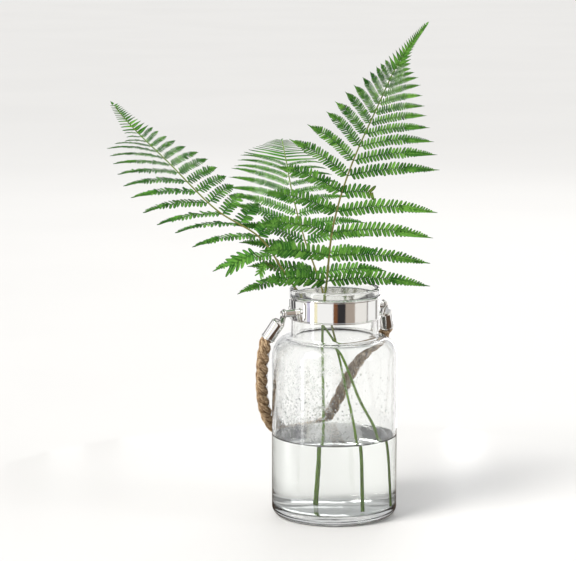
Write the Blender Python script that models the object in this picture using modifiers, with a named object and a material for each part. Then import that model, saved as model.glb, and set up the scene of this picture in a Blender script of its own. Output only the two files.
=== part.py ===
"""Three cut fern fronds standing in water in a rope-handled glass jar vase.

Metres, +Z up. The origin is the centre of the jar's underside, +X is to the right and +Y to the back.
The rope handle hangs behind the jar and swings about the line through its two pivots.
"""

import math

import bmesh
import bpy
from mathutils import Matrix, Vector

# ---------------------------------------------------------------- driving dimensions
GAP = 0.0003  # clearance kept between pieces that touch

JAR_HEIGHT = 0.278
JAR_RADIUS = 0.0755
JAR_WALL = 0.0040
FLOOR_THICKNESS = 0.0110
FOOT_ROUNDING = 0.0100
INNER_ROUNDING = 0.0060
SHOULDER_START = 0.1920
SHOULDER_RISE = 0.0265
NECK_RADIUS = 0.0525
NECK_FILLET = 0.0030
LIP_RADIUS = 0.0541
LIP_HEIGHT = 0.0094
JAR_SEGMENTS = 40

WATER_LEVEL = 0.0965

BAND_BOTTOM = 0.2405
BAND_TOP = 0.2680
BAND_THICKNESS = 0.0014
BAND_BEAD = 0.0008  # how far the band's rolled edges stand out
BAND_BEAD_HEIGHT = 0.0018
BAND_INNER = NECK_RADIUS + 0.0004
BAND_OUTER = BAND_INNER + BAND_THICKNESS

PIVOT_HEIGHT = 0.2510
PIVOT_TURN = math.radians(30)  # the pivot line, turned about +Z from +X
HANDLE_LEAN = math.radians(26)  # the hanging loop leans back on the jar by this
EYE_RADIAL = 0.0700  # from the jar's axis to the middle of a ferrule's eye
EYE_THICKNESS = 0.0020
EYE_RADIUS = 0.0056
PIN_RADIUS = 0.0020
PIN_HEAD_RADIUS = 0.0046
PIN_HEAD_HEIGHT = 0.0022
PIN_BITE = 0.0080  # how far a pivot stud goes into its lug
BOSS_RADIUS = 0.0042

LUG_WIDTH = 0.0360
LUG_LOW = 0.2435
LUG_HIGH = 0.2652
LUG_THICKNESS = 0.0012
RIVET_SPREAD = math.radians(15)  # from the pivot line to each rivet, about the jar's axis
RIVET_SHANK = 0.0014
RIVET_HEAD = 0.0027

FERRULE_RADIUS = 0.0084
FERRULE_WALL = 0.0007
FERRULE_START = 0.0110  # along the ferrule's own axis, from the pivot
FERRULE_END = 0.0370
FERRULE_LEAN = math.radians(22)  # the ferrules splay outwards by this

ROPE_RADIUS = 0.0073
ROPE_START = 0.0150  # along the ferrule's axis, from the pivot
ROPE_STRAIGHT = 0.0020  # how far it runs straight on out of each ferrule
ROPE_SAMPLES = 36
# The rope's route between its ferrules, left to right, in the hinge's frame: how far across from the
# loop's middle, how far back from the loop's plane and how far down from the pivot line. It lies round
# the back of the jar, which pushes its right side backwards.
ROPE_ROUTE = (
    (-0.0850, 0.0000, 0.0450),
    (-0.0832, 0.0000, 0.0640),
    (-0.0785, 0.0000, 0.0890),
    (-0.0728, 0.0000, 0.1120),
    (-0.0645, 0.0000, 0.1350),
    (-0.0550, 0.0000, 0.1540),
    (-0.0415, 0.0005, 0.1715),
    (-0.0225, 0.0010, 0.1845),
    (-0.0020, 0.0020, 0.1900),
    (0.0175, 0.0030, 0.1855),
    (0.0340, 0.0035, 0.1740),
    (0.0450, 0.0065, 0.1530),
    (0.0560, 0.0110, 0.1250),
    (0.0650, 0.0125, 0.1010),
    (0.0735, 0.0100, 0.0780),
    (0.0805, 0.0045, 0.0580),
    (0.0840, 0.0015, 0.0470),
)

# ---------------------------------------------------------------- fronds
LEAFLET_THICKNESS = 0.0010
LEAFLET_ROWS = (0.0, 0.05, 0.14, 0.30, 0.50, 0.70, 0.88, 1.0)
ARCH = 0.05  # height of a leaflet's bow, as a share of its length
BROKEN_SHARE = 0.30  # what is left of the broken leaflet's length
STALK_SAMPLES = 30

# A frond's path runs from its foot in the water to its tip. Each station along its leafy part gives the
# place (0 at the lowest pair, 1 at the tip) and how far the left and the right leaflet reach from there.
FRONDS = (
    {
        "name": "tall_frond",
        "path": (
            (-0.0160, 0.006, 0.0130),
            (-0.0130, 0.004, 0.0965),
            (-0.0145, 0.002, 0.2300),
            (-0.0095, -0.004, 0.2860),
            (-0.0020, -0.016, 0.3550),
            (0.0180, -0.025, 0.4250),
            (0.0500, -0.030, 0.4990),
            (0.0760, -0.028, 0.5530),
            (0.1090, -0.020, 0.5960),
        ),
        "radii": (0.0023, 0.0006),
        "first_leaf": 0.445,
        "leaf_step": 0.905,  # each leaflet pair leaves this share of the frond beyond it
        "pairs": 13,
        "half_width": 0.0098,
        "roll": (-30, 15),
        "broken": 4,  # this pair's right leaflet is snapped off short
        "stations": (
            (0.00, (-0.078, -0.040, 0.006), (0.125, 0.006, -0.004)),
            (0.10, (-0.082, -0.042, 0.010), (0.122, 0.010, -0.012)),
            (0.25, (-0.088, -0.045, 0.026), (0.122, 0.012, 0.000)),
            (0.41, (-0.066, -0.055, 0.050), (0.108, 0.012, 0.004)),
            (0.49, (-0.040, -0.048, 0.047), (0.092, 0.011, 0.008)),
            (0.58, (-0.031, -0.036, 0.041), (0.070, 0.010, 0.006)),
            (0.72, (-0.013, -0.020, 0.027), (0.040, 0.006, 0.013)),
            (0.78, (-0.008, -0.012, 0.018), (0.021, 0.003, 0.007)),
            (0.86, (-0.004, -0.005, 0.009), (0.010, 0.001, 0.004)),
            (1.00, (-0.001, -0.001, 0.003), (0.002, 0.000, 0.002)),
        ),
    },
    {
        "name": "left_frond",
        "path": (
            (0.0620, -0.020, 0.0130),
            (0.0515, -0.013, 0.0965),
            (0.0300, -0.011, 0.1420),
            (0.0030, -0.010, 0.2070),
            (-0.0360, -0.009, 0.2620),
            (-0.0600, -0.008, 0.2960),
            (-0.0900, -0.008, 0.3390),
            (-0.1420, -0.004, 0.3720),
            (-0.1965, 0.006, 0.4250),
            (-0.2400, 0.020, 0.4660),
            (-0.2690, 0.034, 0.4980),
        ),
        "radii": (0.0022, 0.0006),
        "first_leaf": 0.498,
        "leaf_step": 0.890,
        "pairs": 12,
        "half_width": 0.0095,
        "roll": (46, 0),
        "stations": (
            (0.00, (-0.060, -0.042, -0.012), (0.026, 0.038, 0.010)),
            (0.17, (-0.079, -0.040, -0.009), (0.024, 0.044, 0.017)),
            (0.27, (-0.076, -0.028, -0.002), (0.022, 0.046, 0.019)),
            (0.38, (-0.077, -0.024, -0.009), (0.026, 0.040, 0.021)),
            (0.52, (-0.078, -0.020, -0.003), (0.036, 0.030, 0.015)),
            (0.63, (-0.070, -0.016, 0.002), (0.035, 0.028, 0.013)),
            (0.73, (-0.058, -0.012, 0.008), (0.020, 0.020, 0.011)),
            (0.79, (-0.020, -0.006, 0.001), (0.012, 0.012, 0.012)),
            (0.88, (-0.012, -0.004, 0.001), (0.009, 0.006, 0.006)),
            (1.00, (-0.003, -0.001, 0.001), (0.003, 0.002, 0.002)),
        ),
    },
    {
        "name": "back_frond",
        "path": (
            (0.0300, -0.042, 0.0130),
            (0.0255, -0.026, 0.0965),
            (0.0130, -0.008, 0.1580),
            (-0.0010, 0.012, 0.2200),
            (-0.0170, 0.028, 0.2780),
            (-0.0360, 0.044, 0.3300),
            (-0.0500, 0.062, 0.3800),
            (-0.0575, 0.083, 0.4170),
            (-0.0615, 0.107, 0.4340),
            (-0.0635, 0.133, 0.4430),
        ),
        "radii": (0.0022, 0.0006),
        "first_leaf": 0.590,
        "leaf_step": 0.885,
        "pairs": 11,
        "half_width": 0.0095,
        "roll": (20, -20),
        "stations": (
            (0.00, (-0.085, 0.005, 0.010), (0.085, 0.010, 0.004)),
            (0.30, (-0.090, 0.012, 0.024), (0.080, 0.020, 0.004)),
            (0.55, (-0.076, 0.024, 0.016), (0.062, 0.028, 0.002)),
            (0.72, (-0.056, 0.024, 0.010), (0.042, 0.026, 0.001)),
            (0.86, (-0.026, 0.016, 0.004), (0.020, 0.016, 0.001)),
            (1.00, (-0.003, 0.005, 0.001), (0.003, 0.005, 0.001)),
        ),
    },
)

# The left frond's lowest two leaflets are bare for most of their length: where each leaves the stalk, a place
# half way, where its leafy end starts, how far that reaches and half its width.
BARE_LEAFLETS = (
    (
        (-0.0605, -0.0120, 0.2960),
        (-0.0750, -0.0320, 0.3080),
        (-0.0960, -0.0480, 0.3248),
        (-0.0293, -0.0100, -0.0151),
        0.0105,
    ),
    (
        (-0.0585, -0.0120, 0.2915),
        (-0.0667, -0.0240, 0.2984),
        (-0.0832, -0.0400, 0.3128),
        (-0.0070, -0.0060, -0.0146),
        0.0060,
    ),
)
BARE_WIDTHS = (0.08, 0.08, 0.08, 0.08, 0.30, 0.85, 1.00, 0.75, 0.25)  # along it, as shares of the widest

COLOURS = {  # base colour, roughness, metallic
    "glass": ((0.86, 0.90, 0.88), 0.05, 0.0),
    "water": ((0.72, 0.80, 0.78), 0.02, 0.0),
    "polished_metal": ((0.78, 0.77, 0.75), 0.12, 1.0),
    "rope": ((0.55, 0.38, 0.22), 0.95, 0.0),
    "stalk": ((0.30, 0.42, 0.12), 0.55, 0.0),
    "leaf": ((0.07, 0.27, 0.05), 0.50, 0.0),
}


# ---------------------------------------------------------------- scene and materials
def clear_scene():
    for obj in list(bpy.data.objects):
        bpy.data.objects.remove(obj, do_unlink=True)


def new_collection(name, hidden=False):
    collection = bpy.data.collections.new(name)
    bpy.context.scene.collection.children.link(collection)
    collection.hide_render = hidden
    return collection


def material_for(node, finish):
    """A material of the piece's own, in the colour of its finish."""
    colour, roughness, metallic = COLOURS[finish]
    material = bpy.data.materials.new(node)
    material.use_nodes = True
    shader = material.node_tree.nodes["Principled BSDF"]
    shader.inputs["Base Color"].default_value = (*colour, 1.0)
    shader.inputs["Roughness"].default_value = roughness
    shader.inputs["Metallic"].default_value = metallic
    material.diffuse_color = (*colour, 1.0)
    return material


def add_piece(name, data, finish, parent=None):
    piece = bpy.data.objects.new(name, data)
    PARTS.objects.link(piece)
    data.materials.append(material_for(name, finish))
    if parent is not None:
        piece.parent = parent
    return piece


def add_helper(name, data, matrix=None):
    """A cutter or a shape to join: never rendered, drawn as a wire."""
    helper = bpy.data.objects.new(name, data)
    CUTTERS.objects.link(helper)
    helper.hide_render = True
    helper.display_type = "WIRE"
    if matrix is not None:
        helper.matrix_world = matrix
    return helper


def boolean(piece, helper, operation="DIFFERENCE"):
    modifier = piece.modifiers.new(f"{operation.lower()}_{helper.name}", "BOOLEAN")
    modifier.operation = operation
    modifier.object = helper
    modifier.solver = "EXACT"


# ---------------------------------------------------------------- shapes
def arc(centre, radii, start, end, steps):
    """Points on an ellipse's arc in the XZ plane, from start to end in degrees."""
    return [
        (
            centre[0] + radii[0] * math.cos(math.radians(start + (end - start) * i / steps)),
            centre[1] + radii[1] * math.sin(math.radians(start + (end - start) * i / steps)),
        )
        for i in range(steps + 1)
    ]


def profile_mesh(name, profile, closed):
    mesh = bpy.data.meshes.new(name)
    count = len(profile)
    edges = [(i, (i + 1) % count) for i in range(count if closed else count - 1)]
    mesh.from_pydata([(x, 0.0, z) for x, z in profile], edges, [])
    return mesh


def turn(obj, segments):
    screw = obj.modifiers.new("turned", "SCREW")
    screw.steps = screw.render_steps = segments
    screw.use_merge_vertices = True
    screw.merge_threshold = 0.00001
    screw.use_smooth_shade = True


def cylinder_mesh(name, radius, depth, segments, rounding=0.0):
    """A cylinder on +Z from 0 to depth, its far edge rounded where asked."""
    shape = bmesh.new()
    bmesh.ops.create_cone(
        shape,
        cap_ends=True,
        segments=segments,
        radius1=radius,
        radius2=radius,
        depth=depth,
        matrix=Matrix.Translation((0, 0, depth / 2)),
    )
    if rounding:
        rim = [e for e in shape.edges if all(v.co.z > depth - 1e-6 for v in e.verts)]
        bmesh.ops.bevel(shape, geom=rim, offset=rounding, segments=2, affect="EDGES", profile=0.5)
    mesh = bpy.data.meshes.new(name)
    shape.to_mesh(mesh)
    shape.free()
    return mesh


def box_mesh(name, size, centre=(0, 0, 0)):
    shape = bmesh.new()
    place = Matrix.Translation(centre) @ Matrix.Diagonal((*size, 1))
    bmesh.ops.create_cube(shape, size=1.0, matrix=place)
    mesh = bpy.data.meshes.new(name)
    shape.to_mesh(mesh)
    shape.free()
    return mesh


def smooth_path(points, samples):
    """A Catmull-Rom curve through the points, read at evenly spaced places."""
    ends = [points[0] * 2 - points[1], *points, points[-1] * 2 - points[-2]]
    fine = []
    for p0, p1, p2, p3 in zip(ends, ends[1:], ends[2:], ends[3:]):
        for k in range(20):
            t = k / 20
            fine.append(
                0.5
                * (
                    2 * p1
                    + (p2 - p0) * t
                    + (2 * p0 - 5 * p1 + 4 * p2 - p3) * t**2
                    + (3 * p1 - p0 - 3 * p2 + p3) * t**3
                )
            )
    fine.append(points[-1])
    lengths = [0.0]
    for a, b in zip(fine, fine[1:]):
        lengths.append(lengths[-1] + (b - a).length)
    even = []
    at = 0
    for i in range(samples):
        want = lengths[-1] * i / (samples - 1)
        while at < len(fine) - 2 and lengths[at + 1] < want:
            at += 1
        share = (want - lengths[at]) / (lengths[at + 1] - lengths[at])
        even.append(fine[at].lerp(fine[at + 1], share))
    return even


def tube_curve(name, points, radii, resolution):
    """A round tube along the points, tapered from the first radius to the last."""
    curve = bpy.data.curves.new(name, "CURVE")
    curve.dimensions = "3D"
    curve.bevel_depth = 1.0
    curve.bevel_resolution = resolution
    curve.use_fill_caps = True
    spline = curve.splines.new("POLY")
    spline.points.add(len(points) - 1)
    for i, (point, place) in enumerate(zip(spline.points, points)):
        point.co = (*place, 1.0)
        point.radius = radii[0] + (radii[1] - radii[0]) * i / (len(points) - 1)
    return curve


def mesh_from_curve(name, curve):
    """The curve's tube as a closed mesh that a Boolean can use."""
    holder = bpy.data.objects.new(name, curve)
    bpy.context.scene.collection.objects.link(holder)
    graph = bpy.context.evaluated_depsgraph_get()
    mesh = bpy.data.meshes.new_from_object(holder.evaluated_get(graph))
    bpy.data.objects.remove(holder, do_unlink=True)
    shape = bmesh.new()
    shape.from_mesh(mesh)
    bmesh.ops.remove_doubles(shape, verts=shape.verts, dist=0.00001)
    shape.to_mesh(mesh)
    shape.free()
    return mesh


# ---------------------------------------------------------------- the jar and its water
def jar_profile():
    """From the inner floor's middle up the inside, over the lip, down the outside to the underside."""
    inner = JAR_RADIUS - JAR_WALL
    neck_inner = NECK_RADIUS - JAR_WALL
    shoulder_x = NECK_RADIUS + NECK_FILLET
    shoulder_radii = (JAR_RADIUS - shoulder_x, SHOULDER_RISE)
    inner_radii = (inner - shoulder_x, SHOULDER_RISE - JAR_WALL)
    inner_fillet = shoulder_x - neck_inner
    floor_bend = FLOOR_THICKNESS + INNER_ROUNDING
    crown = SHOULDER_START + SHOULDER_RISE
    lip_round = (LIP_RADIUS - neck_inner) / 2
    lip_middle = neck_inner + lip_round
    return [
        (0.0, FLOOR_THICKNESS),
        *arc((inner - INNER_ROUNDING, floor_bend), (INNER_ROUNDING,) * 2, -90, 0, 3),
        *arc((shoulder_x, SHOULDER_START), inner_radii, 0, 80, 5),
        *arc((shoulder_x, crown - JAR_WALL + inner_fillet), (inner_fillet,) * 2, -100, -180, 3),
        *arc((lip_middle, JAR_HEIGHT - lip_round), (lip_round,) * 2, 180, 0, 5),
        (LIP_RADIUS, JAR_HEIGHT - LIP_HEIGHT + 0.0006),
        (LIP_RADIUS - 0.0006, JAR_HEIGHT - LIP_HEIGHT),
        (NECK_RADIUS, JAR_HEIGHT - LIP_HEIGHT),
        *arc((shoulder_x, crown + NECK_FILLET), (NECK_FILLET,) * 2, 180, 260, 2),
        *arc((shoulder_x, SHOULDER_START), shoulder_radii, 80, 0, 6),
        *arc((JAR_RADIUS - FOOT_ROUNDING, FOOT_ROUNDING), (FOOT_ROUNDING,) * 2, 0, -90, 4),
        (0.0, 0.0),
    ]


def make_jar():
    jar = add_piece("glass_jar", profile_mesh("glass_jar", jar_profile(), closed=False), "glass")
    turn(jar, JAR_SEGMENTS)


def make_water(stalk_cutters):
    """The water fills the jar up to its level, with a clear hole round each stalk."""
    outer = JAR_RADIUS - JAR_WALL - GAP
    floor = FLOOR_THICKNESS + GAP
    rounding = INNER_ROUNDING
    profile = [
        (0.0, WATER_LEVEL),
        (outer - 0.004, WATER_LEVEL),
        (outer, WATER_LEVEL + 0.0012),
        *arc((outer - rounding, floor + rounding), (rounding,) * 2, 0, -90, 3),
        (0.0, floor),
    ]
    water = add_piece("water", profile_mesh("water", profile, closed=False), "water")
    turn(water, JAR_SEGMENTS)
    for cutter in stalk_cutters:
        boolean(water, cutter)


# ---------------------------------------------------------------- the metal fittings
def make_band():
    bead_low = BAND_BOTTOM + BAND_BEAD_HEIGHT
    bead_high = BAND_TOP - BAND_BEAD_HEIGHT
    bead = BAND_OUTER + BAND_BEAD
    profile = [
        (BAND_INNER, BAND_TOP),
        (bead - 0.0003, BAND_TOP),
        (bead, BAND_TOP - BAND_BEAD_HEIGHT / 2),
        (bead - 0.0003, bead_high + 0.0002),
        (BAND_OUTER, bead_high),
        (BAND_OUTER, bead_low),
        (bead - 0.0003, bead_low - 0.0002),
        (bead, BAND_BOTTOM + BAND_BEAD_HEIGHT / 2),
        (bead - 0.0003, BAND_BOTTOM),
        (BAND_INNER, BAND_BOTTOM),
    ]
    band = add_piece("neck_band", profile_mesh("neck_band", profile, closed=True), "polished_metal")
    turn(band, JAR_SEGMENTS)
    return band


def side_frame(turn_angle, height):
    """Local +Z points straight out from the jar's axis at this angle about it, local +Y points up."""
    out = Vector((math.cos(turn_angle), math.sin(turn_angle), 0))
    up = Vector((0, 0, 1))
    frame = Matrix((up.cross(out), up, out)).transposed().to_4x4()
    return Matrix.Translation((0, 0, height)) @ frame


def make_lug(name, angle):
    """A curved plate on the band with a round boss that takes the pivot stud."""
    inner = BAND_OUTER + GAP
    outer = inner + LUG_THICKNESS
    frame = side_frame(angle, PIVOT_HEIGHT)
    above = LUG_HIGH + 0.01
    below = LUG_LOW - 0.01
    ring = [(inner, above), (outer, above), (outer, below), (inner, below)]
    lug = add_piece(name, profile_mesh(name, ring, closed=True), "polished_metal")
    turn(lug, JAR_SEGMENTS)
    lug.rotation_euler = (0, 0, angle)

    outline_size = (LUG_WIDTH, LUG_HIGH - LUG_LOW, 0.06)
    outline_centre = (0, (LUG_HIGH + LUG_LOW) / 2 - PIVOT_HEIGHT, 0.05)
    outline = box_mesh(f"{name}_outline", outline_size, outline_centre)
    outline_shape = add_helper(f"{name}_outline", outline, frame)
    corners = outline_shape.modifiers.new("corners", "BEVEL")
    corners.width = 0.004
    corners.segments = 3
    boolean(lug, outline_shape, "INTERSECT")

    boss_start = outer - LUG_THICKNESS / 2
    boss_end = EYE_RADIAL - EYE_THICKNESS / 2 - GAP
    boss = cylinder_mesh(f"{name}_boss", BOSS_RADIUS, boss_end - boss_start, 20, rounding=0.0005)
    boolean(lug, add_helper(f"{name}_boss", boss, frame @ Matrix.Translation((0, 0, boss_start))), "UNION")
    bore = cylinder_mesh(f"{name}_bore", PIN_RADIUS + GAP, PIN_BITE + 0.01, 16)
    bore_place = Matrix.Translation((0, 0, boss_end - PIN_BITE - GAP))
    boolean(lug, add_helper(f"{name}_bore", bore, frame @ bore_place))
    return lug


def make_rivet(name, angle, plates):
    """A domed rivet whose shank goes through a hole in the lug's plate and in the band."""
    frame = side_frame(angle, (LUG_LOW + LUG_HIGH) / 2)
    seat = BAND_OUTER + GAP + LUG_THICKNESS
    hole = cylinder_mesh(f"{name}_hole", RIVET_SHANK + GAP, 0.012, 12)
    hole_shape = add_helper(f"{name}_hole", hole, frame @ Matrix.Translation((0, 0, seat - 0.006)))
    for plate in plates:
        boolean(plate, hole_shape)
    tail = BAND_INNER + GAP
    head = seat + GAP
    dome = arc((0, head), (RIVET_HEAD, 0.0014), 90, 0, 4)
    profile = [(0.0, dome[0][1]), *dome[1:], (RIVET_SHANK, head), (RIVET_SHANK, tail), (0.0, tail)]
    rivet = add_piece(name, profile_mesh(name, profile, closed=False), "polished_metal")
    turn(rivet, 14)
    rivet.matrix_world = frame


def make_pin(name, angle):
    """The headed stud that a ferrule's eye turns on."""
    frame = side_frame(angle, PIVOT_HEIGHT)
    head = EYE_RADIAL + EYE_THICKNESS / 2 + GAP
    start = EYE_RADIAL - EYE_THICKNESS / 2 - GAP - PIN_BITE
    edge = PIN_HEAD_HEIGHT / 3
    profile = [
        (0.0, head + PIN_HEAD_HEIGHT),
        (PIN_HEAD_RADIUS - edge, head + PIN_HEAD_HEIGHT),
        (PIN_HEAD_RADIUS, head + PIN_HEAD_HEIGHT - edge),
        (PIN_HEAD_RADIUS, head),
        (PIN_RADIUS, head),
        (PIN_RADIUS, start),
        (0.0, start),
    ]
    pin = add_piece(name, profile_mesh(name, profile, closed=False), "polished_metal")
    turn(pin, 16)
    pin.matrix_world = frame


# ---------------------------------------------------------------- the handle
def ferrule_axis(side):
    return Vector((side * math.sin(FERRULE_LEAN), 0.0, -math.cos(FERRULE_LEAN)))


def make_hinge():
    """The empty on the pivot line. Its X runs along the line, its -Z down the loop."""
    hinge = bpy.data.objects.new("handle_hinge", None)
    PARTS.objects.link(hinge)
    turned = Matrix.Rotation(PIVOT_TURN, 4, "Z") @ Matrix.Rotation(HANDLE_LEAN, 4, "X")
    hinge.matrix_world = Matrix.Translation((0, 0, PIVOT_HEIGHT)) @ turned
    bpy.context.view_layer.update()
    return hinge


def make_ferrule(name, hinge, side):
    """A metal cap over the rope's end, closed at the top, with a flat eye for the pivot stud."""
    outer = FERRULE_RADIUS
    inner = outer - FERRULE_WALL
    top = -FERRULE_START
    mouth = -FERRULE_END
    cavity = -(ROPE_START - GAP)
    profile = [
        (0.0, top),
        *arc((outer - 0.002, top - 0.002), (0.002, 0.002), 90, 0, 2),
        (outer, mouth + 0.0020),
        (outer + 0.0005, mouth + 0.0014),
        (outer + 0.0005, mouth + 0.0004),
        (outer, mouth),
        (inner, mouth),
        (inner, cavity),
        (0.0, cavity),
    ]
    ferrule = add_piece(name, profile_mesh(name, profile, closed=False), "polished_metal", hinge)
    turn(ferrule, 24)
    lean = Matrix.Rotation(-side * FERRULE_LEAN, 4, "Y")
    place = Matrix.Translation((side * EYE_RADIAL, 0, 0))
    ferrule.matrix_local = place @ lean

    world = hinge.matrix_world @ place
    flat = Matrix.Rotation(math.radians(90), 4, "Y")
    disc = cylinder_mesh(f"{name}_eye", EYE_RADIUS, EYE_THICKNESS, 20)
    disc_place = world @ Matrix.Translation((-EYE_THICKNESS / 2, 0, 0)) @ flat
    boolean(ferrule, add_helper(f"{name}_eye", disc, disc_place), "UNION")
    strap_size = (EYE_THICKNESS, 2 * EYE_RADIUS - 0.0006, FERRULE_START + 0.0026)
    strap = box_mesh(f"{name}_strap", strap_size, (0, 0, -strap_size[2] / 2))
    boolean(ferrule, add_helper(f"{name}_strap", strap, world), "UNION")
    hole = cylinder_mesh(f"{name}_hole", PIN_RADIUS + GAP, 4 * EYE_THICKNESS, 16)
    hole_place = world @ Matrix.Translation((-2 * EYE_THICKNESS, 0, 0)) @ flat
    boolean(ferrule, add_helper(f"{name}_hole", hole, hole_place))


def rope_path():
    """The rope's middle line in the hinge's frame: straight out of each ferrule, then round its route."""
    ends = []
    for side in (-1, 1):
        eye = Vector((side * EYE_RADIAL, 0, 0))
        reach = (ROPE_START, FERRULE_END + ROPE_STRAIGHT)
        ends.append([eye + ferrule_axis(side) * along for along in reach])
    route = [Vector((across, back, -down)) for across, back, down in ROPE_ROUTE]
    loose = smooth_path([ends[0][1], *route, ends[1][1]], ROPE_SAMPLES)
    return [ends[0][0], *loose, ends[1][0]]


def make_rope(hinge):
    curve = tube_curve("rope_handle", rope_path(), (ROPE_RADIUS,) * 2, 4)
    add_piece("rope_handle", curve, "rope", hinge)


# ---------------------------------------------------------------- the fronds
class Stalk:
    """A frond's stalk and midrib, read by its share of the length from foot to tip."""

    def __init__(self, frond):
        self.points = smooth_path([Vector(p) for p in frond["path"]], 200)
        self.radii = frond["radii"]

    def point(self, share):
        place = min(max(share, 0.0), 1.0) * (len(self.points) - 1)
        low = min(int(place), len(self.points) - 2)
        return self.points[low].lerp(self.points[low + 1], place - low)

    def direction(self, share):
        return (self.point(share + 0.01) - self.point(share - 0.01)).normalized()

    def radius(self, share):
        return self.radii[0] + (self.radii[1] - self.radii[0]) * share


def reach_at(frond, place):
    """The left and right leaflets' reach at this place along the leafy part."""
    stations = frond["stations"]
    for (low, *from_reach), (high, *to_reach) in zip(stations, stations[1:]):
        if place <= high:
            break
    share = (place - low) / (high - low)
    return [Vector(a).lerp(Vector(b), share) for a, b in zip(from_reach, to_reach)]


def leaf_shape(u):
    """A leaflet's half width at the share u of its length, as a share of its widest."""
    return min(1.0, 0.25 + 4.0 * u) * (1.0 - u * u) ** 0.8 + 0.05


def leaf_side(run, along, roll):
    """What is left of the second direction across the first, rolled about the first."""
    run = run.normalized()
    flat = (along - run * along.dot(run)).normalized()
    return Matrix.Rotation(math.radians(roll), 3, run) @ flat


def make_leaflets(name, frond, stalk, place, share, broken):
    """One pair of leaflets, joined by a small saddle over the midrib."""
    centre = stalk.point(share)
    along = stalk.direction(share)
    reaches = reach_at(frond, place)
    if broken:
        reaches[1] *= BROKEN_SHARE
    outward = sum((leaf_side(along, reach, 0) for reach in reaches), Vector()).normalized()
    saddle = centre + outward * (stalk.radius(share) + LEAFLET_THICKNESS / 2 + 2 * GAP)
    sides = [leaf_side(reach, along, roll) for reach, roll in zip(reaches, frond["roll"])]
    spacing = (1.0 - frond["leaf_step"]) * (1.0 - share) * stalk_length(stalk)
    widest = min(frond["half_width"], 0.46 * spacing)

    rows = len(LEAFLET_ROWS) - 1
    shape = bmesh.new()
    bmesh.ops.create_grid(shape, x_segments=2 * rows, y_segments=1, size=0.5)
    for vertex in shape.verts:
        column = round((vertex.co.x + 0.5) * 2 * rows) - rows
        u = LEAFLET_ROWS[abs(column)]
        which = 0 if column < 0 else 1
        reach = reaches[which]
        across = along.lerp(sides[which], min(1.0, u / LEAFLET_ROWS[2])).normalized()
        bow = Vector((0, 0, 4 * ARCH * reach.length * u * (1 - u)))
        edge = across * math.copysign(widest * leaf_shape(u), vertex.co.y)
        vertex.co = saddle + reach * u + bow + edge
    mesh = bpy.data.meshes.new(name)
    shape.to_mesh(mesh)
    shape.free()
    leaflets = add_piece(name, mesh, "leaf")
    thicken(leaflets)


def thicken(obj):
    solid = obj.modifiers.new("thickness", "SOLIDIFY")
    solid.thickness = LEAFLET_THICKNESS
    solid.offset = 0.0


def stalk_length(stalk):
    return sum((b - a).length for a, b in zip(stalk.points, stalk.points[1:]))


def make_tip(frond, stalk, start):
    """The frond's tip, where the last small leaflets run together into one blade."""
    name = f"{frond['name']}_tip"
    rows = 8
    shape = bmesh.new()
    bmesh.ops.create_grid(shape, x_segments=rows, y_segments=2, size=0.5)
    for vertex in shape.verts:
        u = vertex.co.x + 0.5
        share = start + (1.0 - start) * u
        first = frond["first_leaf"]
        left, right = reach_at(frond, (share - first) / (1.0 - first))
        half = left if vertex.co.y > 0 else right
        out = abs(vertex.co.y) * (1.0 - 0.9 * u)
        vertex.co = stalk.point(share) + half * out
    mesh = bpy.data.meshes.new(name)
    shape.to_mesh(mesh)
    shape.free()
    thicken(add_piece(name, mesh, "leaf"))


def make_bare_leaflet(name, root, bend, start, reach, widest):
    """A leaflet whose midrib is bare up to its leafy end."""
    root, bend, start, reach = Vector(root), Vector(bend), Vector(start), Vector(reach)
    rows = len(BARE_WIDTHS) - 1
    spine = smooth_path([root, bend, start, start + reach], rows + 1)
    across = reach.cross(Vector((0.2, -1, 0.4))).normalized()
    shape = bmesh.new()
    bmesh.ops.create_grid(shape, x_segments=rows, y_segments=1, size=0.5)
    for vertex in shape.verts:
        row = round((vertex.co.x + 0.5) * rows)
        vertex.co = spine[row] + across * math.copysign(widest * BARE_WIDTHS[row], vertex.co.y)
    mesh = bpy.data.meshes.new(name)
    shape.to_mesh(mesh)
    shape.free()
    thicken(add_piece(name, mesh, "leaf"))


def make_frond(frond):
    stalk = Stalk(frond)
    first = frond["first_leaf"]
    for i in range(frond["pairs"]):
        beyond = frond["leaf_step"] ** i
        share = 1.0 - (1.0 - first) * beyond
        name = f"{frond['name']}_leaflets_{i + 1:02d}"
        make_leaflets(name, frond, stalk, 1.0 - beyond, share, frond.get("broken") == i)
    tip_start = 1.0 - (1.0 - first) * frond["leaf_step"] ** frond["pairs"]
    make_tip(frond, stalk, tip_start)

    stalk_end = tip_start - 0.006
    shares = [stalk_end * i / (STALK_SAMPLES - 1) for i in range(STALK_SAMPLES)]
    points = [stalk.point(share) for share in shares]
    radii = (stalk.radius(0.0), stalk.radius(stalk_end))
    name = f"{frond['name']}_stalk"
    add_piece(name, tube_curve(name, points, radii, 2), "stalk")
    wet = [point for point in points if point.z < WATER_LEVEL + 0.02]
    wet.insert(0, wet[0] + (wet[0] - wet[1]).normalized() * 0.004)
    hole_radius = stalk.radius(0.0) + GAP
    cutter = mesh_from_curve(f"{name}_hole", tube_curve(f"{name}_hole", wet, (hole_radius,) * 2, 2))
    return add_helper(f"{name}_hole", cutter)


# ---------------------------------------------------------------- assembly
def make_fittings():
    band = make_band()
    for side_name, turn_angle in (("right", PIVOT_TURN), ("left", PIVOT_TURN + math.pi)):
        lug = make_lug(f"lug_{side_name}", turn_angle)
        make_pin(f"pivot_pin_{side_name}", turn_angle)
        towards_back = 1 if side_name == "right" else -1
        for end, way in (("front", -1), ("back", 1)):
            angle = turn_angle + way * towards_back * RIVET_SPREAD
            make_rivet(f"rivet_{side_name}_{end}", angle, (lug, band))


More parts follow.
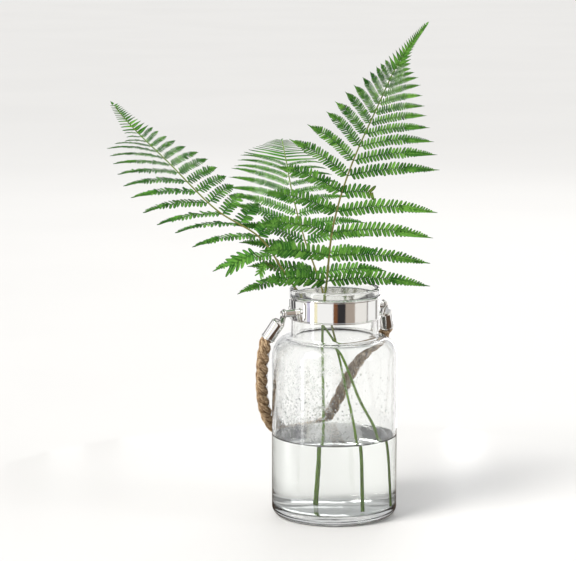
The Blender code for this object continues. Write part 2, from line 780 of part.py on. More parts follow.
def make_handle():
    hinge = make_hinge()
    make_ferrule("ferrule_right", hinge, 1)
    make_ferrule("ferrule_left", hinge, -1)
    make_rope(hinge)


clear_scene()
PARTS = new_collection("fern_in_glass_vase")
CUTTERS = new_collection("cutters", hidden=True)
make_jar()
make_fittings()
make_handle()
make_water([make_frond(frond) for frond in FRONDS])
for number, leaflet in enumerate(BARE_LEAFLETS, 1):
    make_bare_leaflet(f"left_frond_bare_leaflet_{number:02d}", *leaflet)
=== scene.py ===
"""Three fern fronds in a rope-handled glass jar vase: the finished look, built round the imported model.

Metres, +Z up, +Y to the back. Each operator below makes one piece or one group of like pieces.
"""

import math
import random

import bmesh
import bpy
from mathutils import Matrix, Vector


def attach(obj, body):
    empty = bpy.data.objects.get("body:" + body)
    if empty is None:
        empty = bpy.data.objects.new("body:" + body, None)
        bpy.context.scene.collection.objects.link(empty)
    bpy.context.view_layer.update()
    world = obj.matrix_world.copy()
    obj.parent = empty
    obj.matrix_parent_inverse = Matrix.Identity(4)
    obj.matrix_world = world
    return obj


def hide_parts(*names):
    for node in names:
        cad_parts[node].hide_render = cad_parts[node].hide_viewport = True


bl_info = {
    "name": "Fern in a glass jar vase",
    "version": (1, 0, 0),
    "blender": (4, 5, 0),
    "location": "3D View > Sidebar > Fern Vase",
    "description": "Makes the finished glass, metal, rope and foliage of a fern in a jar vase",
    "category": "Add Mesh",
}

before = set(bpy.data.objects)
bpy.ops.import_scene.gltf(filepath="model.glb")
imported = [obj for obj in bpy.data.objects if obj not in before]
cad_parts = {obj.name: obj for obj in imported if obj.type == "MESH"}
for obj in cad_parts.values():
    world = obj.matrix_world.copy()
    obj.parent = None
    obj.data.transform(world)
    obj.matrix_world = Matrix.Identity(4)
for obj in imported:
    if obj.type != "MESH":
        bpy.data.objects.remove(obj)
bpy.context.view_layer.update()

VASE = "vase_and_plant"
HANDLE = "handle"
UP = Vector((0, 0, 1))
FULL_TURN = 2 * math.pi

# The jar's parts meet at these places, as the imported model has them.
PIVOT_HEIGHT = 0.2510
PIVOT_TURN = math.radians(30)
HANDLE_LEAN = math.radians(26)
EYE_RADIAL = 0.0700
PLATE_LOW = 0.2435
PLATE_HIGH = 0.2652
PLATE_GAP = 0.0003
PLATE_THICKNESS = 0.0012
PLATE_CORNER = 0.0040
RIVET_HEIGHT = 0.25435
RIVET_TURN = math.radians(15)
FERRULE_LEAN = math.radians(22)
FERRULE_START = 0.0110
FERRULE_END = 0.0370
FERRULE_RADIUS = 0.0084
FERRULE_WALL = 0.0007
STUD_RADIUS = 0.0020
ROPE_START = 0.0150
ROPE_STRAIGHT = 0.0020
ROPE_SAMPLES = 420
STRAND_OFFSET = 0.90  # strands lie this far out, as a share of where three round ones would touch
LOOSE_FIBRES = 3400
FIBRE_THICKNESS = 0.00016
FERRULE_SAMPLES = 34  # the line's samples at either end that are inside or close to a ferrule
# Across from the loop's middle, back from its plane and down from the pivot line, left to right.
ROPE_ROUTE = (
    (-0.0850, 0.0000, 0.0450),
    (-0.0832, 0.0000, 0.0640),
    (-0.0785, 0.0000, 0.0890),
    (-0.0728, 0.0000, 0.1120),
    (-0.0645, 0.0000, 0.1350),
    (-0.0550, 0.0000, 0.1540),
    (-0.0415, 0.0005, 0.1715),
    (-0.0225, 0.0010, 0.1845),
    (-0.0020, 0.0020, 0.1900),
    (0.0175, 0.0030, 0.1855),
    (0.0340, 0.0035, 0.1740),
    (0.0450, 0.0065, 0.1530),
    (0.0560, 0.0110, 0.1250),
    (0.0650, 0.0125, 0.1010),
    (0.0735, 0.0100, 0.0780),
    (0.0805, 0.0045, 0.0580),
    (0.0840, 0.0015, 0.0470),
)

# A frond's path runs from its foot in the water to its tip. Each station along its leafy part gives the
# place (0 at the lowest pair, 1 at the tip) and how far the left and the right leaflet reach from there.
FRONDS = (
    {
        "name": "tall_frond",
        "path": (
            (-0.0160, 0.006, 0.0130),
            (-0.0130, 0.004, 0.0965),
            (-0.0145, 0.002, 0.2300),
            (-0.0095, -0.004, 0.2860),
            (-0.0020, -0.016, 0.3550),
            (0.0180, -0.025, 0.4250),
            (0.0500, -0.030, 0.4990),
            (0.0760, -0.028, 0.5530),
            (0.1090, -0.020, 0.5960),
        ),
        "radii": (0.0023, 0.0006),
        "first_leaf": 0.445,
        "leaf_step": 0.905,
        "pairs": 13,
        "half_width": (0.0128, 0.0102),
        "roll": (-18, 12),
        "fill": (0.42, 0.45),
        "full": (0.58, 0.46),
        "tint": 0.12,
        "broken": (4, 1),
        "stations": (
            (0.00, (-0.078, -0.040, 0.006), (0.125, 0.006, -0.004)),
            (0.10, (-0.082, -0.042, 0.010), (0.122, 0.010, -0.012)),
            (0.25, (-0.088, -0.045, 0.026), (0.122, 0.012, 0.000)),
            (0.41, (-0.066, -0.055, 0.050), (0.108, 0.012, 0.004)),
            (0.49, (-0.040, -0.048, 0.047), (0.092, 0.011, 0.008)),
            (0.58, (-0.031, -0.036, 0.041), (0.070, 0.010, 0.006)),
            (0.72, (-0.013, -0.020, 0.027), (0.040, 0.006, 0.013)),
            (0.78, (-0.008, -0.012, 0.018), (0.021, 0.003, 0.007)),
            (0.86, (-0.004, -0.005, 0.009), (0.010, 0.001, 0.004)),
            (1.00, (-0.001, -0.001, 0.003), (0.002, 0.000, 0.002)),
        ),
    },
    {
        "name": "left_frond",
        "path": (
            (0.0620, -0.020, 0.0130),
            (0.0515, -0.013, 0.0965),
            (0.0300, -0.011, 0.1420),
            (0.0030, -0.010, 0.2070),
            (-0.0360, -0.009, 0.2620),
            (-0.0600, -0.008, 0.2960),
            (-0.0900, -0.008, 0.3390),
            (-0.1420, -0.004, 0.3720),
            (-0.1965, 0.006, 0.4250),
            (-0.2400, 0.020, 0.4660),
            (-0.2690, 0.034, 0.4980),
        ),
        "radii": (0.0022, 0.0006),
        "first_leaf": 0.498,
        "leaf_step": 0.890,
        "pairs": 12,
        "half_width": (0.0092, 0.0112),
        "roll": (46, -12),
        "fill": (0.50, 0.44),
        "full": (0.45, 0.58),
        "tint": -0.32,
        "stations": (
            (0.00, (-0.060, -0.042, -0.012), (0.026, 0.038, 0.010)),
            (0.17, (-0.079, -0.040, -0.009), (0.024, 0.044, 0.017)),
            (0.27, (-0.076, -0.028, -0.002), (0.022, 0.046, 0.019)),
            (0.38, (-0.077, -0.024, -0.009), (0.026, 0.040, 0.021)),
            (0.52, (-0.078, -0.020, -0.003), (0.036, 0.030, 0.015)),
            (0.63, (-0.070, -0.016, 0.002), (0.035, 0.028, 0.013)),
            (0.73, (-0.058, -0.012, 0.008), (0.020, 0.020, 0.011)),
            (0.79, (-0.020, -0.006, 0.001), (0.012, 0.012, 0.012)),
            (0.88, (-0.012, -0.004, 0.001), (0.009, 0.006, 0.006)),
            (1.00, (-0.003, -0.001, 0.001), (0.003, 0.002, 0.002)),
        ),
    },
    {
        "name": "back_frond",
        "path": (
            (0.0300, -0.042, 0.0130),
            (0.0255, -0.026, 0.0965),
            (0.0130, -0.008, 0.1580),
            (-0.0010, 0.012, 0.2200),
            (-0.0170, 0.028, 0.2780),
            (-0.0360, 0.044, 0.3300),
            (-0.0500, 0.062, 0.3800),
            (-0.0575, 0.083, 0.4170),
            (-0.0615, 0.107, 0.4340),
            (-0.0635, 0.133, 0.4430),
        ),
        "radii": (0.0022, 0.0006),
        "first_leaf": 0.590,
        "leaf_step": 0.885,
        "pairs": 11,
        "half_width": (0.0095, 0.0095),
        "roll": (20, -20),
        "fill": (0.42, 0.42),
        "full": (0.45, 0.45),
        "tint": -0.08,
        "stations": (
            (0.00, (-0.085, 0.005, 0.010), (0.085, 0.010, 0.004)),
            (0.30, (-0.090, 0.012, 0.024), (0.080, 0.020, 0.004)),
            (0.55, (-0.076, 0.024, 0.016), (0.062, 0.028, 0.002)),
            (0.72, (-0.056, 0.024, 0.010), (0.042, 0.026, 0.001)),
            (0.86, (-0.026, 0.016, 0.004), (0.020, 0.016, 0.001)),
            (1.00, (-0.003, 0.005, 0.001), (0.003, 0.005, 0.001)),
        ),
    },
)

MIST_BEARING = -128  # the side of the jar that mists most, in degrees seen from above
MIST_SPREAD = 75  # degrees to either side of it at which the glass is clear again
FACING = Vector((0, -0.8, 0.6))  # the fronds' upper sides are turned this way
BROKEN_SHARE = 0.30  # what is left of a leaflet that has lost its end
SIMPLE_LEAFLET = 0.0028  # a leaflet narrower than this is one plain blade
LAST_LEAFLET = 0.006  # leaflets stop this far short of the tip
CLOSEST_LEAFLETS = 0.0026  # pairs stand no closer than this along the stalk
# The root on the stalk, a place half way, where the lobes start, how far they reach and how wide.
BARE_LEAFLETS = (
    (
        (-0.0597, -0.0085, 0.2955),
        (-0.0750, -0.0320, 0.3080),
        (-0.0960, -0.0480, 0.3248),
        (-0.0293, -0.0100, -0.0151),
        0.0105,
    ),
    (
        (-0.0597, -0.0085, 0.2935),
        (-0.0667, -0.0240, 0.2984),
        (-0.0832, -0.0400, 0.3128),
        (-0.0070, -0.0060, -0.0146),
        0.0060,
    ),
)

# Each pattern's columns from its root to its end: the place along it, and its width there.
LOBE_COLUMNS = ((0, 1.04), (0.1, 0.92), (0.32, 0.84), (0.58, 0.81), (0.8, 0.69), (0.94, 0.42), (1, 0.13))
BLADE_COLUMNS = ((0, 0.7), (0.1, 0.92), (0.28, 0.9), (0.48, 0.7), (0.7, 0.4), (0.88, 0.17), (1, 0.03))

# The studio cards, seen from above: each starts at this bearing in degrees and ends at the next one'sizes.
WHITE = (0.95, 0.95, 0.95)
CHARCOAL = (0.035, 0.033, 0.035)
LAMP = (5.0, 5.0, 5.0)
TABLE = (0.20, 0.13, 0.085)
CARDS = (
    (-180, WHITE),
    (-162, (0.60, 0.58, 0.74)),
    (-151, LAMP),
    (-146, WHITE),
    (-142, (0.92, 0.86, 0.58)),
    (-134, WHITE),
    (-95, (0.20, 0.085, 0.04)),
    (-85, CHARCOAL),
    (-65, (0.40, 0.34, 0.29)),
    (-42, (0.86, 0.84, 0.81)),
    (-6, (0.30, 0.28, 0.27)),
    (-2, WHITE),
    (30, (0.36, 0.35, 0.34)),
    (42, WHITE),
    (64, LAMP),
    (70, (0.25, 0.24, 0.24)),
    (90, WHITE),
    (124, CHARCOAL),
    (132, WHITE),
    (138, CHARCOAL),
    (148, (0.50, 0.49, 0.50)),
    (154, CHARCOAL),
    (161, WHITE),
)


# ---------------------------------------------------------------- settings a user would change
def size_prop(name, description, default):
    return bpy.props.FloatProperty(
        name=name, description=description, default=default, min=0.0, unit="LENGTH", precision=4
    )


def colour_prop(name, description, default):
    return bpy.props.FloatVectorProperty(
        name=name, description=description, default=default, subtype="COLOR", size=3, min=0, max=1
    )


class JarSettings(bpy.types.PropertyGroup):
    height: size_prop("Height", "From the underside to the top of the lip", 0.278)
    radius: size_prop("Radius", "Outside radius of the body", 0.0755)
    wall: size_prop("Wall", "Thickness of the glass wall", 0.004)
    floor: size_prop("Floor", "Thickness of the glass floor", 0.011)
    neck: size_prop("Neck", "Outside radius of the neck", 0.0525)
    lip: size_prop("Lip", "Outside radius of the rounded lip", 0.0541)
    shoulder: size_prop("Shoulder start", "Height at which the shoulder starts to bend in", 0.192)
    rise: size_prop("Shoulder rise", "How much the shoulder rises as it bends in", 0.0265)
    water: size_prop("Water level", "Height of the water's surface", 0.0965)
    glass: colour_prop("Glass", "Tint of the glass", (0.985, 0.992, 0.987))
    wet: colour_prop("Water", "Tint of the water", (0.975, 0.987, 0.98))
    drops: bpy.props.IntProperty(
        name="Droplets", description="Droplets of condensation inside the jar", default=1500, min=0
    )


class FittingSettings(bpy.types.PropertyGroup):
    band_low: size_prop("Band's lower edge", "Height of the band's lower edge", 0.2405)
    band_high: size_prop("Band's upper edge", "Height of the band's upper edge", 0.268)
    band_thickness: size_prop("Band thickness", "Thickness of the sheet metal", 0.0014)
    plate_width: size_prop("Plate width", "Width of a pivot plate, round the band", 0.036)
    metal: colour_prop("Metal", "Colour of the polished plating", (0.86, 0.85, 0.83))


class RopeSettings(bpy.types.PropertyGroup):
    diameter: size_prop("Diameter", "Outside diameter of the rope", 0.0146)
    pitch: size_prop("Lay length", "Length of one whole turn of a strand", 0.050)
    strands: bpy.props.IntProperty(
        name="Strands", description="Strands twisted together", default=3, min=2, max=6
    )
    yarns: bpy.props.IntProperty(
        name="Yarns", description="Yarn ridges round each strand", default=9, min=4, max=16
    )
    light: colour_prop("Light fibre", "Colour of the jute's bright fibres", (0.56, 0.41, 0.255))
    dark: colour_prop("Dark fibre", "Colour of the jute in the shade of the lay", (0.20, 0.118, 0.058))


class FernSettings(bpy.types.PropertyGroup):
    lean: bpy.props.FloatProperty(
        name="Lobe lean",
        description="Angle between a leaf lobe and its midrib, towards the tip",
        default=math.radians(73),
        subtype="ANGLE",
    )
    spacing: bpy.props.FloatProperty(
        name="Lobe spacing", description="Spacing of the lobes, as a share of their length", default=0.51
    )
    fresh: colour_prop("Leaf", "Colour of a leaf's upper side", (0.022, 0.150, 0.014))
    young: colour_prop("Young leaf", "Colour of the brighter, younger lobes", (0.25, 0.57, 0.085))
    under: colour_prop("Underside", "Colour of a leaf's underside", (0.055, 0.20, 0.035))
    dry: colour_prop("Dry leaf", "Colour of a dried lobe or tip", (0.21, 0.10, 0.035))
    stalk: colour_prop("Stalk", "Colour of a fresh stalk", (0.135, 0.255, 0.026))
    midrib: colour_prop("Midrib", "Colour of the woodier midrib among the leaves", (0.24, 0.18, 0.06))


class StageSettings(bpy.types.PropertyGroup):
    floor: colour_prop("Floor", "Colour of the floor", (0.80, 0.79, 0.775))
    lens: bpy.props.FloatProperty(
        name="Lens", description="Focal length of the camera, in millimetres", default=153.06, min=1
    )
    tilt: bpy.props.FloatProperty(
        name="Tilt",
        description="How far the camera looks down",
        default=math.radians(9.1),
        subtype="ANGLE",
    )


SETTINGS = {
    "vase_jar": JarSettings,
    "vase_fittings": FittingSettings,
    "vase_rope": RopeSettings,
    "vase_fern": FernSettings,
    "vase_stage": StageSettings,
}


# ---------------------------------------------------------------- modelling helpers
def deselect():
    if bpy.context.object and bpy.context.object.mode != "OBJECT":
        bpy.ops.object.mode_set(mode="OBJECT")
    bpy.ops.object.select_all(action="DESELECT")


def pick(obj):
    """Makes this the only selected object and the active one."""
    deselect()
    obj.select_set(True)
    bpy.context.view_layer.objects.active = obj


def named(name):
    """Names the object that the last operator added."""
    obj = bpy.context.object
    obj.name = obj.data.name = name
    return obj


def linked(name, mesh):
    """A new object of this mesh in the scene."""
    obj = bpy.data.objects.new(name, mesh)
    bpy.context.scene.collection.objects.link(obj)
    return obj


def disc(name, sides, radius, height):
    """A flat filled disc that lies level at this height."""
    place = (0, 0, height)
    bpy.ops.mesh.primitive_circle_add(vertices=sides, radius=radius, fill_type="NGON", location=place)
    return settle(named(name))


def select_everything():
    bpy.ops.mesh.select_all(action="SELECT")


class Editing:
    """Edit mode on one object, with nothing selected at first."""

    def __init__(self, obj, mode="VERT"):
        self.obj = obj
        self.mode = mode

    def __enter__(self):
        pick(self.obj)
        bpy.ops.object.mode_set(mode="EDIT")
        bpy.ops.mesh.select_mode(type=self.mode)
        bpy.ops.mesh.select_all(action="DESELECT")
        return self

    def __exit__(self, *error):
        bpy.ops.object.mode_set(mode="OBJECT")

    def select(self, test):
        """Selects the vertices, edges or faces whose middle passes the test."""
        bpy.ops.mesh.select_all(action="DESELECT")
        shape = bmesh.from_edit_mesh(self.obj.data)
        for item in {"VERT": shape.verts, "EDGE": shape.edges, "FACE": shape.faces}[self.mode]:
            if self.mode == "VERT":
                item.select = bool(test(item))
            else:
                ends = [v.co for v in item.verts]
                item.select = bool(test(item, sum(ends, Vector()) / len(ends)))
        shape.select_flush_mode()
        bmesh.update_edit_mesh(self.obj.data)


def settle(obj, place=None):
    """Puts the piece in its place and moves that place into its mesh."""
    if place is not None:
        obj.matrix_world = place @ obj.matrix_world
    pick(obj)
    bpy.ops.object.transform_apply(location=True, rotation=True, scale=True)
    return obj


def smooth(obj, degrees=35):
    pick(obj)
    bpy.ops.object.shade_smooth_by_angle(angle=math.radians(degrees))
    return obj


def joined(name, pieces):
    """Joins the pieces into the first of them."""
    deselect()
    for piece in pieces:
        piece.select_set(True)
    bpy.context.view_layer.objects.active = pieces[0]
    if len(pieces) > 1:
        bpy.ops.object.join()
    return named(name)


def arc(centre, radii, start, end, steps):
    """Points on an arc in the XZ plane, round or of two radii, from start to end in degrees."""
    radii = radii if isinstance(radii, tuple) else (radii, radii)
    turns = [math.radians(start + (end - start) * i / steps) for i in range(steps + 1)]
    return [(centre[0] + radii[0] * math.cos(t), centre[1] + radii[1] * math.sin(t)) for t in turns]


def turned(name, profile, steps, closed=False):
    """A piece turned about +Z from a profile of (radius, height) points."""
    bpy.ops.mesh.primitive_plane_add(size=0.001)
    obj = named(name)
    with Editing(obj):
        select_everything()
        bpy.ops.mesh.merge(type="CENTER")
        bpy.ops.transform.translate(value=(profile[0][0], 0, profile[0][1]))
        route = [*profile, profile[0]] if closed else profile
        for (x0, z0), (x1, z1) in zip(route, route[1:]):
            step = (x1 - x0, 0, z1 - z0)
            bpy.ops.mesh.extrude_region_move(TRANSFORM_OT_translate={"value": step})
        select_everything()
        bpy.ops.mesh.spin(steps=steps, angle=FULL_TURN, center=(0, 0, 0), axis=(0, 0, 1))
        select_everything()
        bpy.ops.mesh.remove_doubles(threshold=0.000002)
        bpy.ops.mesh.normals_make_consistent(inside=False)
    return obj


def side_place(turn_angle, height):
    """Local +Z points straight out from the jar's axis at this angle about it, local +Y points up."""
    out = Vector((math.cos(turn_angle), math.sin(turn_angle), 0))
    axes = Matrix((UP.cross(out), UP, out)).transposed().to_4x4()
    return Matrix.Translation((0, 0, height)) @ axes


def turned_on_side(name, profile, steps, angle, height):
    """A piece turned about the line straight out from the jar at this angle and height."""
    return settle(turned(name, profile, steps), side_place(angle, height))


def around(a, b, turn):
    """The direction at this turn from a towards b."""
    return a * math.cos(turn) + b * math.sin(turn)


def towards_light(normal):
    """The normal, or its opposite where that is the frond's upper side."""
    return -normal if normal.dot(FACING) < 0 else normal


def hinge_place():
    """The handle's frame: X along the pivot line, -Z down the hanging loop."""
    lean = Matrix.Rotation(PIVOT_TURN, 4, "Z") @ Matrix.Rotation(HANDLE_LEAN, 4, "X")
    return Matrix.Translation((0, 0, PIVOT_HEIGHT)) @ lean


def smooth_path(points, samples):
    """A Catmull-Rom curve through the points, read at evenly spaced places."""
    ends = [points[0] * 2 - points[1], *points, points[-1] * 2 - points[-2]]
    fine = []
    for p0, p1, p2, p3 in zip(ends, ends[1:], ends[2:], ends[3:]):
        for k in range(20):
            t = k / 20
            bend = (2 * p0 - 5 * p1 + 4 * p2 - p3) * t**2
            twist = (3 * p1 - p0 - 3 * p2 + p3) * t**3
            fine.append(0.5 * (2 * p1 + (p2 - p0) * t + bend + twist))
    fine.append(points[-1])
    lengths = [0.0]
    for a, b in zip(fine, fine[1:]):
        lengths.append(lengths[-1] + (b - a).length)
    even = []
    at = 0
    for i in range(samples):
        want = lengths[-1] * i / (samples - 1)
        while at < len(fine) - 2 and lengths[at + 1] < want:
            at += 1
        share = (want - lengths[at]) / (lengths[at + 1] - lengths[at])
        even.append(fine[at].lerp(fine[at + 1], share))
    return even


def path_length(points):
    return sum((b - a).length for a, b in zip(points, points[1:]))


def tube(name, points, radii, sides):
    """A round closed tube along the points, with a radius for each point or for the two ends."""
    bpy.ops.curve.primitive_nurbs_path_add()
    obj = named(name)
    curve = obj.data
    curve.splines.clear()
    spline = curve.splines.new("POLY")
    spline.points.add(len(points) - 1)
    for i, (point, place) in enumerate(zip(spline.points, points)):
        share = i / (len(points) - 1)
        point.co = (*place, 1)
        if len(radii) == 2:
            point.radius = radii[0] + (radii[1] - radii[0]) * share
        else:
            point.radius = radii[i]
    curve.bevel_depth = 1.0
    curve.bevel_resolution = sides // 2 - 2
    curve.use_fill_caps = True
    curve.twist_mode = "MINIMUM"
    pick(obj)
    bpy.ops.object.convert(target="MESH")
    obj = named(name)
    with Editing(obj):
        select_everything()
        bpy.ops.mesh.remove_doubles(threshold=0.000001)
    return obj


def set_floats(obj, name, values, domain="POINT"):
    attribute = obj.data.attributes.get(name) or obj.data.attributes.new(name, "FLOAT", domain)
    attribute.data.foreach_set("value", values)


def set_leaf(obj, tint, dry, under=None):
    """How young, how dry and how much of an underside the leaf's material takes this piece for."""
    count = len(obj.data.vertices)
    set_floats(obj, "tint", [tint] * count)
    set_floats(obj, "dry", [dry] * count)
    if under is not None:
        set_floats(obj, "under", [under] * len(obj.data.polygons), "FACE")


def finish_piece(obj, body, material, slot, *nodes):
    """The piece's material, the body that it rides on and the nodes that it stands for."""
    obj.data.materials.clear()
    obj.data.materials.append(material)
    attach(obj, body)
    if nodes:
        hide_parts(*nodes)
    return obj


# ---------------------------------------------------------------- shared material effects
def with_alpha(socket, value):
    """The value, with full alpha after a colour's three channels."""
    return (*value, 1.0) if socket.type == "RGBA" and len(value) == 3 else value


class Nodes:
    """A node tree that is written from left to right."""

    def __init__(self, tree):
        self.tree = tree
        self.column = 0

    def add(self, kind, name="", settings=(), **inputs):
        node = self.tree.nodes.new(kind)
        node.label = name
        node.location = (self.column * 180, 0)
        self.column += 1
        for key, value in dict(settings).items():
            setattr(node, key, value)
        for key, value in inputs.items():
            socket = self.socket(node, key)
            if isinstance(value, bpy.types.NodeSocket):
                self.link(value, socket)
            else:
                socket.default_value = with_alpha(socket, value)
        return node

    def link(self, source, target):
        self.tree.links.new(source, target)

    def attribute(self, name):
        return self.add("ShaderNodeAttribute", settings={"attribute_name": name}).outputs["Fac"]

    def uv_map(self, name):
        return self.add("ShaderNodeUVMap", settings={"uv_map": name}).outputs[0]

    def split(self, vector):
        return self.add("ShaderNodeSeparateXYZ", Vector=vector).outputs

    def scaled(self, vector, factors):
        made = {"operation": "MULTIPLY"}
        return self.add("ShaderNodeVectorMath", settings=made, at_0=vector, at_1=factors).outputs[0]

    def product(self, a, b, clamp=False):
        return self.math("MULTIPLY", a, b, clamp=clamp)

    def rest_of(self, a):
        return self.math("SUBTRACT", 1.0, a)

    @staticmethod
    def socket(node, key):
        if key.startswith("at_"):
            return node.inputs[int(key[3:])]
        return node.inputs[key.replace("_", " ")]

    def math(self, operation, a, b=0.0, c=0.0, clamp=False):
        made = {"operation": operation, "use_clamp": clamp}
        return self.add("ShaderNodeMath", settings=made, at_0=a, at_1=b, at_2=c).outputs[0]

    def mix(self, share, a, b, blend="MIX"):
        made = {"data_type": "RGBA", "blend_type": blend}
        return self.add("ShaderNodeMix", settings=made, at_0=share, at_6=a, at_7=b).outputs[2]

    def ramp(self, value, low, high):
        """0 below low and 1 above high."""
        node = self.add("ShaderNodeMapRange", settings={"interpolation_type": "SMOOTHSTEP"}, Value=value)
        node.inputs["From Min"].default_value = low
        node.inputs["From Max"].default_value = high
        return node.outputs["Result"]

    def noise(self, vector, scale, detail=3.0, roughness=0.5):
        node = self.add(
            "ShaderNodeTexNoise", Vector=vector, Scale=scale, Detail=detail, Roughness=roughness
        )
        return node.outputs["Fac"]


def group(name, inputs, outputs):
    """A new shader node group: its tree to write, its inputs and its output node."""
    tree = bpy.data.node_groups.new(name, "ShaderNodeTree")
    for label, kind, default in inputs:
        socket = tree.interface.new_socket(label, in_out="INPUT", socket_type=kind)
        if default is not None:
            socket.default_value = default
    for label, kind in outputs:
        tree.interface.new_socket(label, in_out="OUTPUT", socket_type=kind)
    nodes = Nodes(tree)
    source = nodes.add("NodeGroupInput").outputs
    target = tree.nodes.new("NodeGroupOutput").inputs
    return tree, nodes, source, target


FLOAT = "NodeSocketFloat"
COLOUR = "NodeSocketColor"
VECTOR = "NodeSocketVector"


def mottle_group():
    """Soft patches of a second colour, and a mask of them."""
    inputs = [
        ("Vector", VECTOR, None),
        ("First", COLOUR, (0.5, 0.5, 0.5, 1)),
        ("Second", COLOUR, (0.8, 0.8, 0.8, 1)),
        ("Scale", FLOAT, 40.0),
        ("Amount", FLOAT, 0.5),
    ]
    tree, nodes, source, target = group("mottle", inputs, [("Colour", COLOUR), ("Mask", FLOAT)])
    broad = nodes.noise(source["Vector"], source["Scale"], 3.0)
    mask = nodes.product(nodes.ramp(broad, 0.35, 0.68), source["Amount"])
    colour = nodes.mix(mask, source["First"], source["Second"])
    nodes.link(colour, target["Colour"])
    nodes.link(mask, target["Mask"])
    return tree


def fibre_group():
    """Long fine streaks along V of the piece's own map: a mask and a height."""
    inputs = [
        ("UV", VECTOR, None),
        ("Across", FLOAT, 60.0),
        ("Along", FLOAT, 4.0),
        ("Detail", FLOAT, 3.0),
    ]
    tree, nodes, source, target = group("fibres", inputs, [("Mask", FLOAT), ("Height", FLOAT)])
    parts = nodes.split(source["UV"])
    across = nodes.product(parts["X"], source["Across"])
    along = nodes.product(parts["Y"], source["Along"])
    place = nodes.add("ShaderNodeCombineXYZ", X=across, Y=along).outputs[0]
    streaks = nodes.noise(place, 1.0, source["Detail"], 0.65)
    nodes.link(nodes.ramp(streaks, 0.30, 0.72), target["Mask"])
    nodes.link(streaks, target["Height"])
    return tree


def polish_group():
    """Handling marks on polished metal: a roughness that varies and the height of faint scratches."""
    inputs = [
        ("Vector", VECTOR, None),
        ("Lowest", FLOAT, 0.05),
        ("Highest", FLOAT, 0.2),
        ("Scale", FLOAT, 60.0),
    ]
    tree, nodes, source, target = group("polish", inputs, [("Roughness", FLOAT), ("Height", FLOAT)])
    smears = nodes.ramp(nodes.noise(source["Vector"], source["Scale"], 4.0, 0.6), 0.42, 0.75)
    span = nodes.math("SUBTRACT", source["Highest"], source["Lowest"])
    rough = nodes.math("MULTIPLY_ADD", smears, span, source["Lowest"])
    scratches = nodes.noise(nodes.scaled(source["Vector"], (1, 1, 14)), 420.0, 2.0)
    nodes.link(rough, target["Roughness"])
    nodes.link(scratches, target["Height"])
    return tree


GROUPS = {}


def shared(name):
    """The named group, made the first time that it's asked for."""
    makers = {"mottle": mottle_group, "fibres": fibre_group, "polish": polish_group}
    if name not in GROUPS:
        GROUPS[name] = makers[name]()
    return GROUPS[name]


def new_material(name, **constants):
    """A material with its Principled shader, on which the constants are set."""
    material = bpy.data.materials.new(name)
    material.use_nodes = True
    shader = material.node_tree.nodes["Principled BSDF"]
    for key, value in constants.items():
        socket = shader.inputs[key.replace("_", " ")]
        socket.default_value = with_alpha(socket, value)
    return material, Nodes(material.node_tree), shader.inputs


def object_place(nodes):
    return nodes.add("ShaderNodeTexCoord").outputs["Object"]


def effect(nodes, name, **inputs):
    return nodes.add("ShaderNodeGroup", name, {"node_tree": shared(name)}, **inputs).outputs


def mottled(nodes, first, second, scale, amount):
    """The first colour with soft patches of the second."""
    inputs = {"First": first, "Second": second, "Scale": scale, "Amount": amount}
    return effect(nodes, "mottle", Vector=object_place(nodes), **inputs)["Colour"]


def bump(nodes, shader, height, depth, strength=1.0):
    node = nodes.add("ShaderNodeBump", Height=height, Distance=depth, Strength=strength)
    nodes.link(node.outputs[0], shader["Normal"])


# ---------------------------------------------------------------- materials
def times(colour, factor):
    return tuple(min(1.0, channel * factor) for channel in colour)


def glass_material(colour):
    material, nodes, shader = new_material(
        "clear_pressed_glass",
        Base_Color=colour,
        Roughness=0.0,
        IOR=1.5,
        Transmission_Weight=1.0,
        Specular_IOR_Level=0.5,
    )
    place = object_place(nodes)
    waves = nodes.noise(place, 26.0, 2.0)
    ripple = nodes.noise(place, 95.0, 1.0)
    height = nodes.math("MULTIPLY_ADD", ripple, 0.12, waves)
    bump(nodes, shader, height, 0.0007, 0.6)
    mist = nodes.attribute("mist")
    patches = nodes.ramp(nodes.noise(place, 60.0, 3.0), 0.38, 0.62)
    beads = nodes.ramp(nodes.noise(place, 900.0, 2.0), 0.42, 0.56)
    haze = nodes.product(nodes.product(patches, beads), mist)
    rough = nodes.product(haze, 0.42)
    nodes.link(rough, shader["Roughness"])
    return material


def water_material(colour, name="still_water"):
    clear = {"IOR": 1.333, "Transmission_Weight": 1.0}
    return new_material(name, Base_Color=colour, Roughness=0.0, **clear)[0]


def metal_material(colour):
    material, nodes, shader = new_material(
        "polished_plating", Base_Color=colour, Metallic=1.0, Roughness=0.08
    )
    marks = effect(nodes, "polish", Vector=object_place(nodes), Lowest=0.045, Highest=0.16, Scale=75.0)
    nodes.link(marks["Roughness"], shader["Roughness"])
    bump(nodes, shader, marks["Height"], 0.00002, 0.5)
    return material


def jute_material(settings):
    material, nodes, shader = new_material("twisted_jute", Roughness=0.92, Specular_IOR_Level=0.25)
    uv = nodes.uv_map("lay")
    groove_shade = nodes.attribute("groove_shade")
    fine = effect(nodes, "fibres", UV=uv, Across=40.0, Along=260.0, Detail=4.0)
    coarse = effect(nodes, "fibres", UV=uv, Across=11.0, Along=230.0, Detail=3.0)
    pale = times(settings.light, 1.3)
    fibre = nodes.mix(fine["Mask"], settings.light, pale)
    shadow = nodes.rest_of(nodes.ramp(coarse["Mask"], 0.30, 0.62))
    fibre = nodes.mix(shadow, fibre, settings.dark)
    patches = mottled(nodes, fibre, settings.dark, 70.0, 0.35)
    # Painted shade: the jute darkens towards the rope's middle, deep in the lay between the strands.
    shade = nodes.mix(groove_shade, patches, times(settings.dark, 0.6))
    nodes.link(shade, shader["Base Color"])
    both = nodes.math("ADD", fine["Height"], coarse["Height"])
    bump(nodes, shader, both, 0.0006, 0.9)
    return material


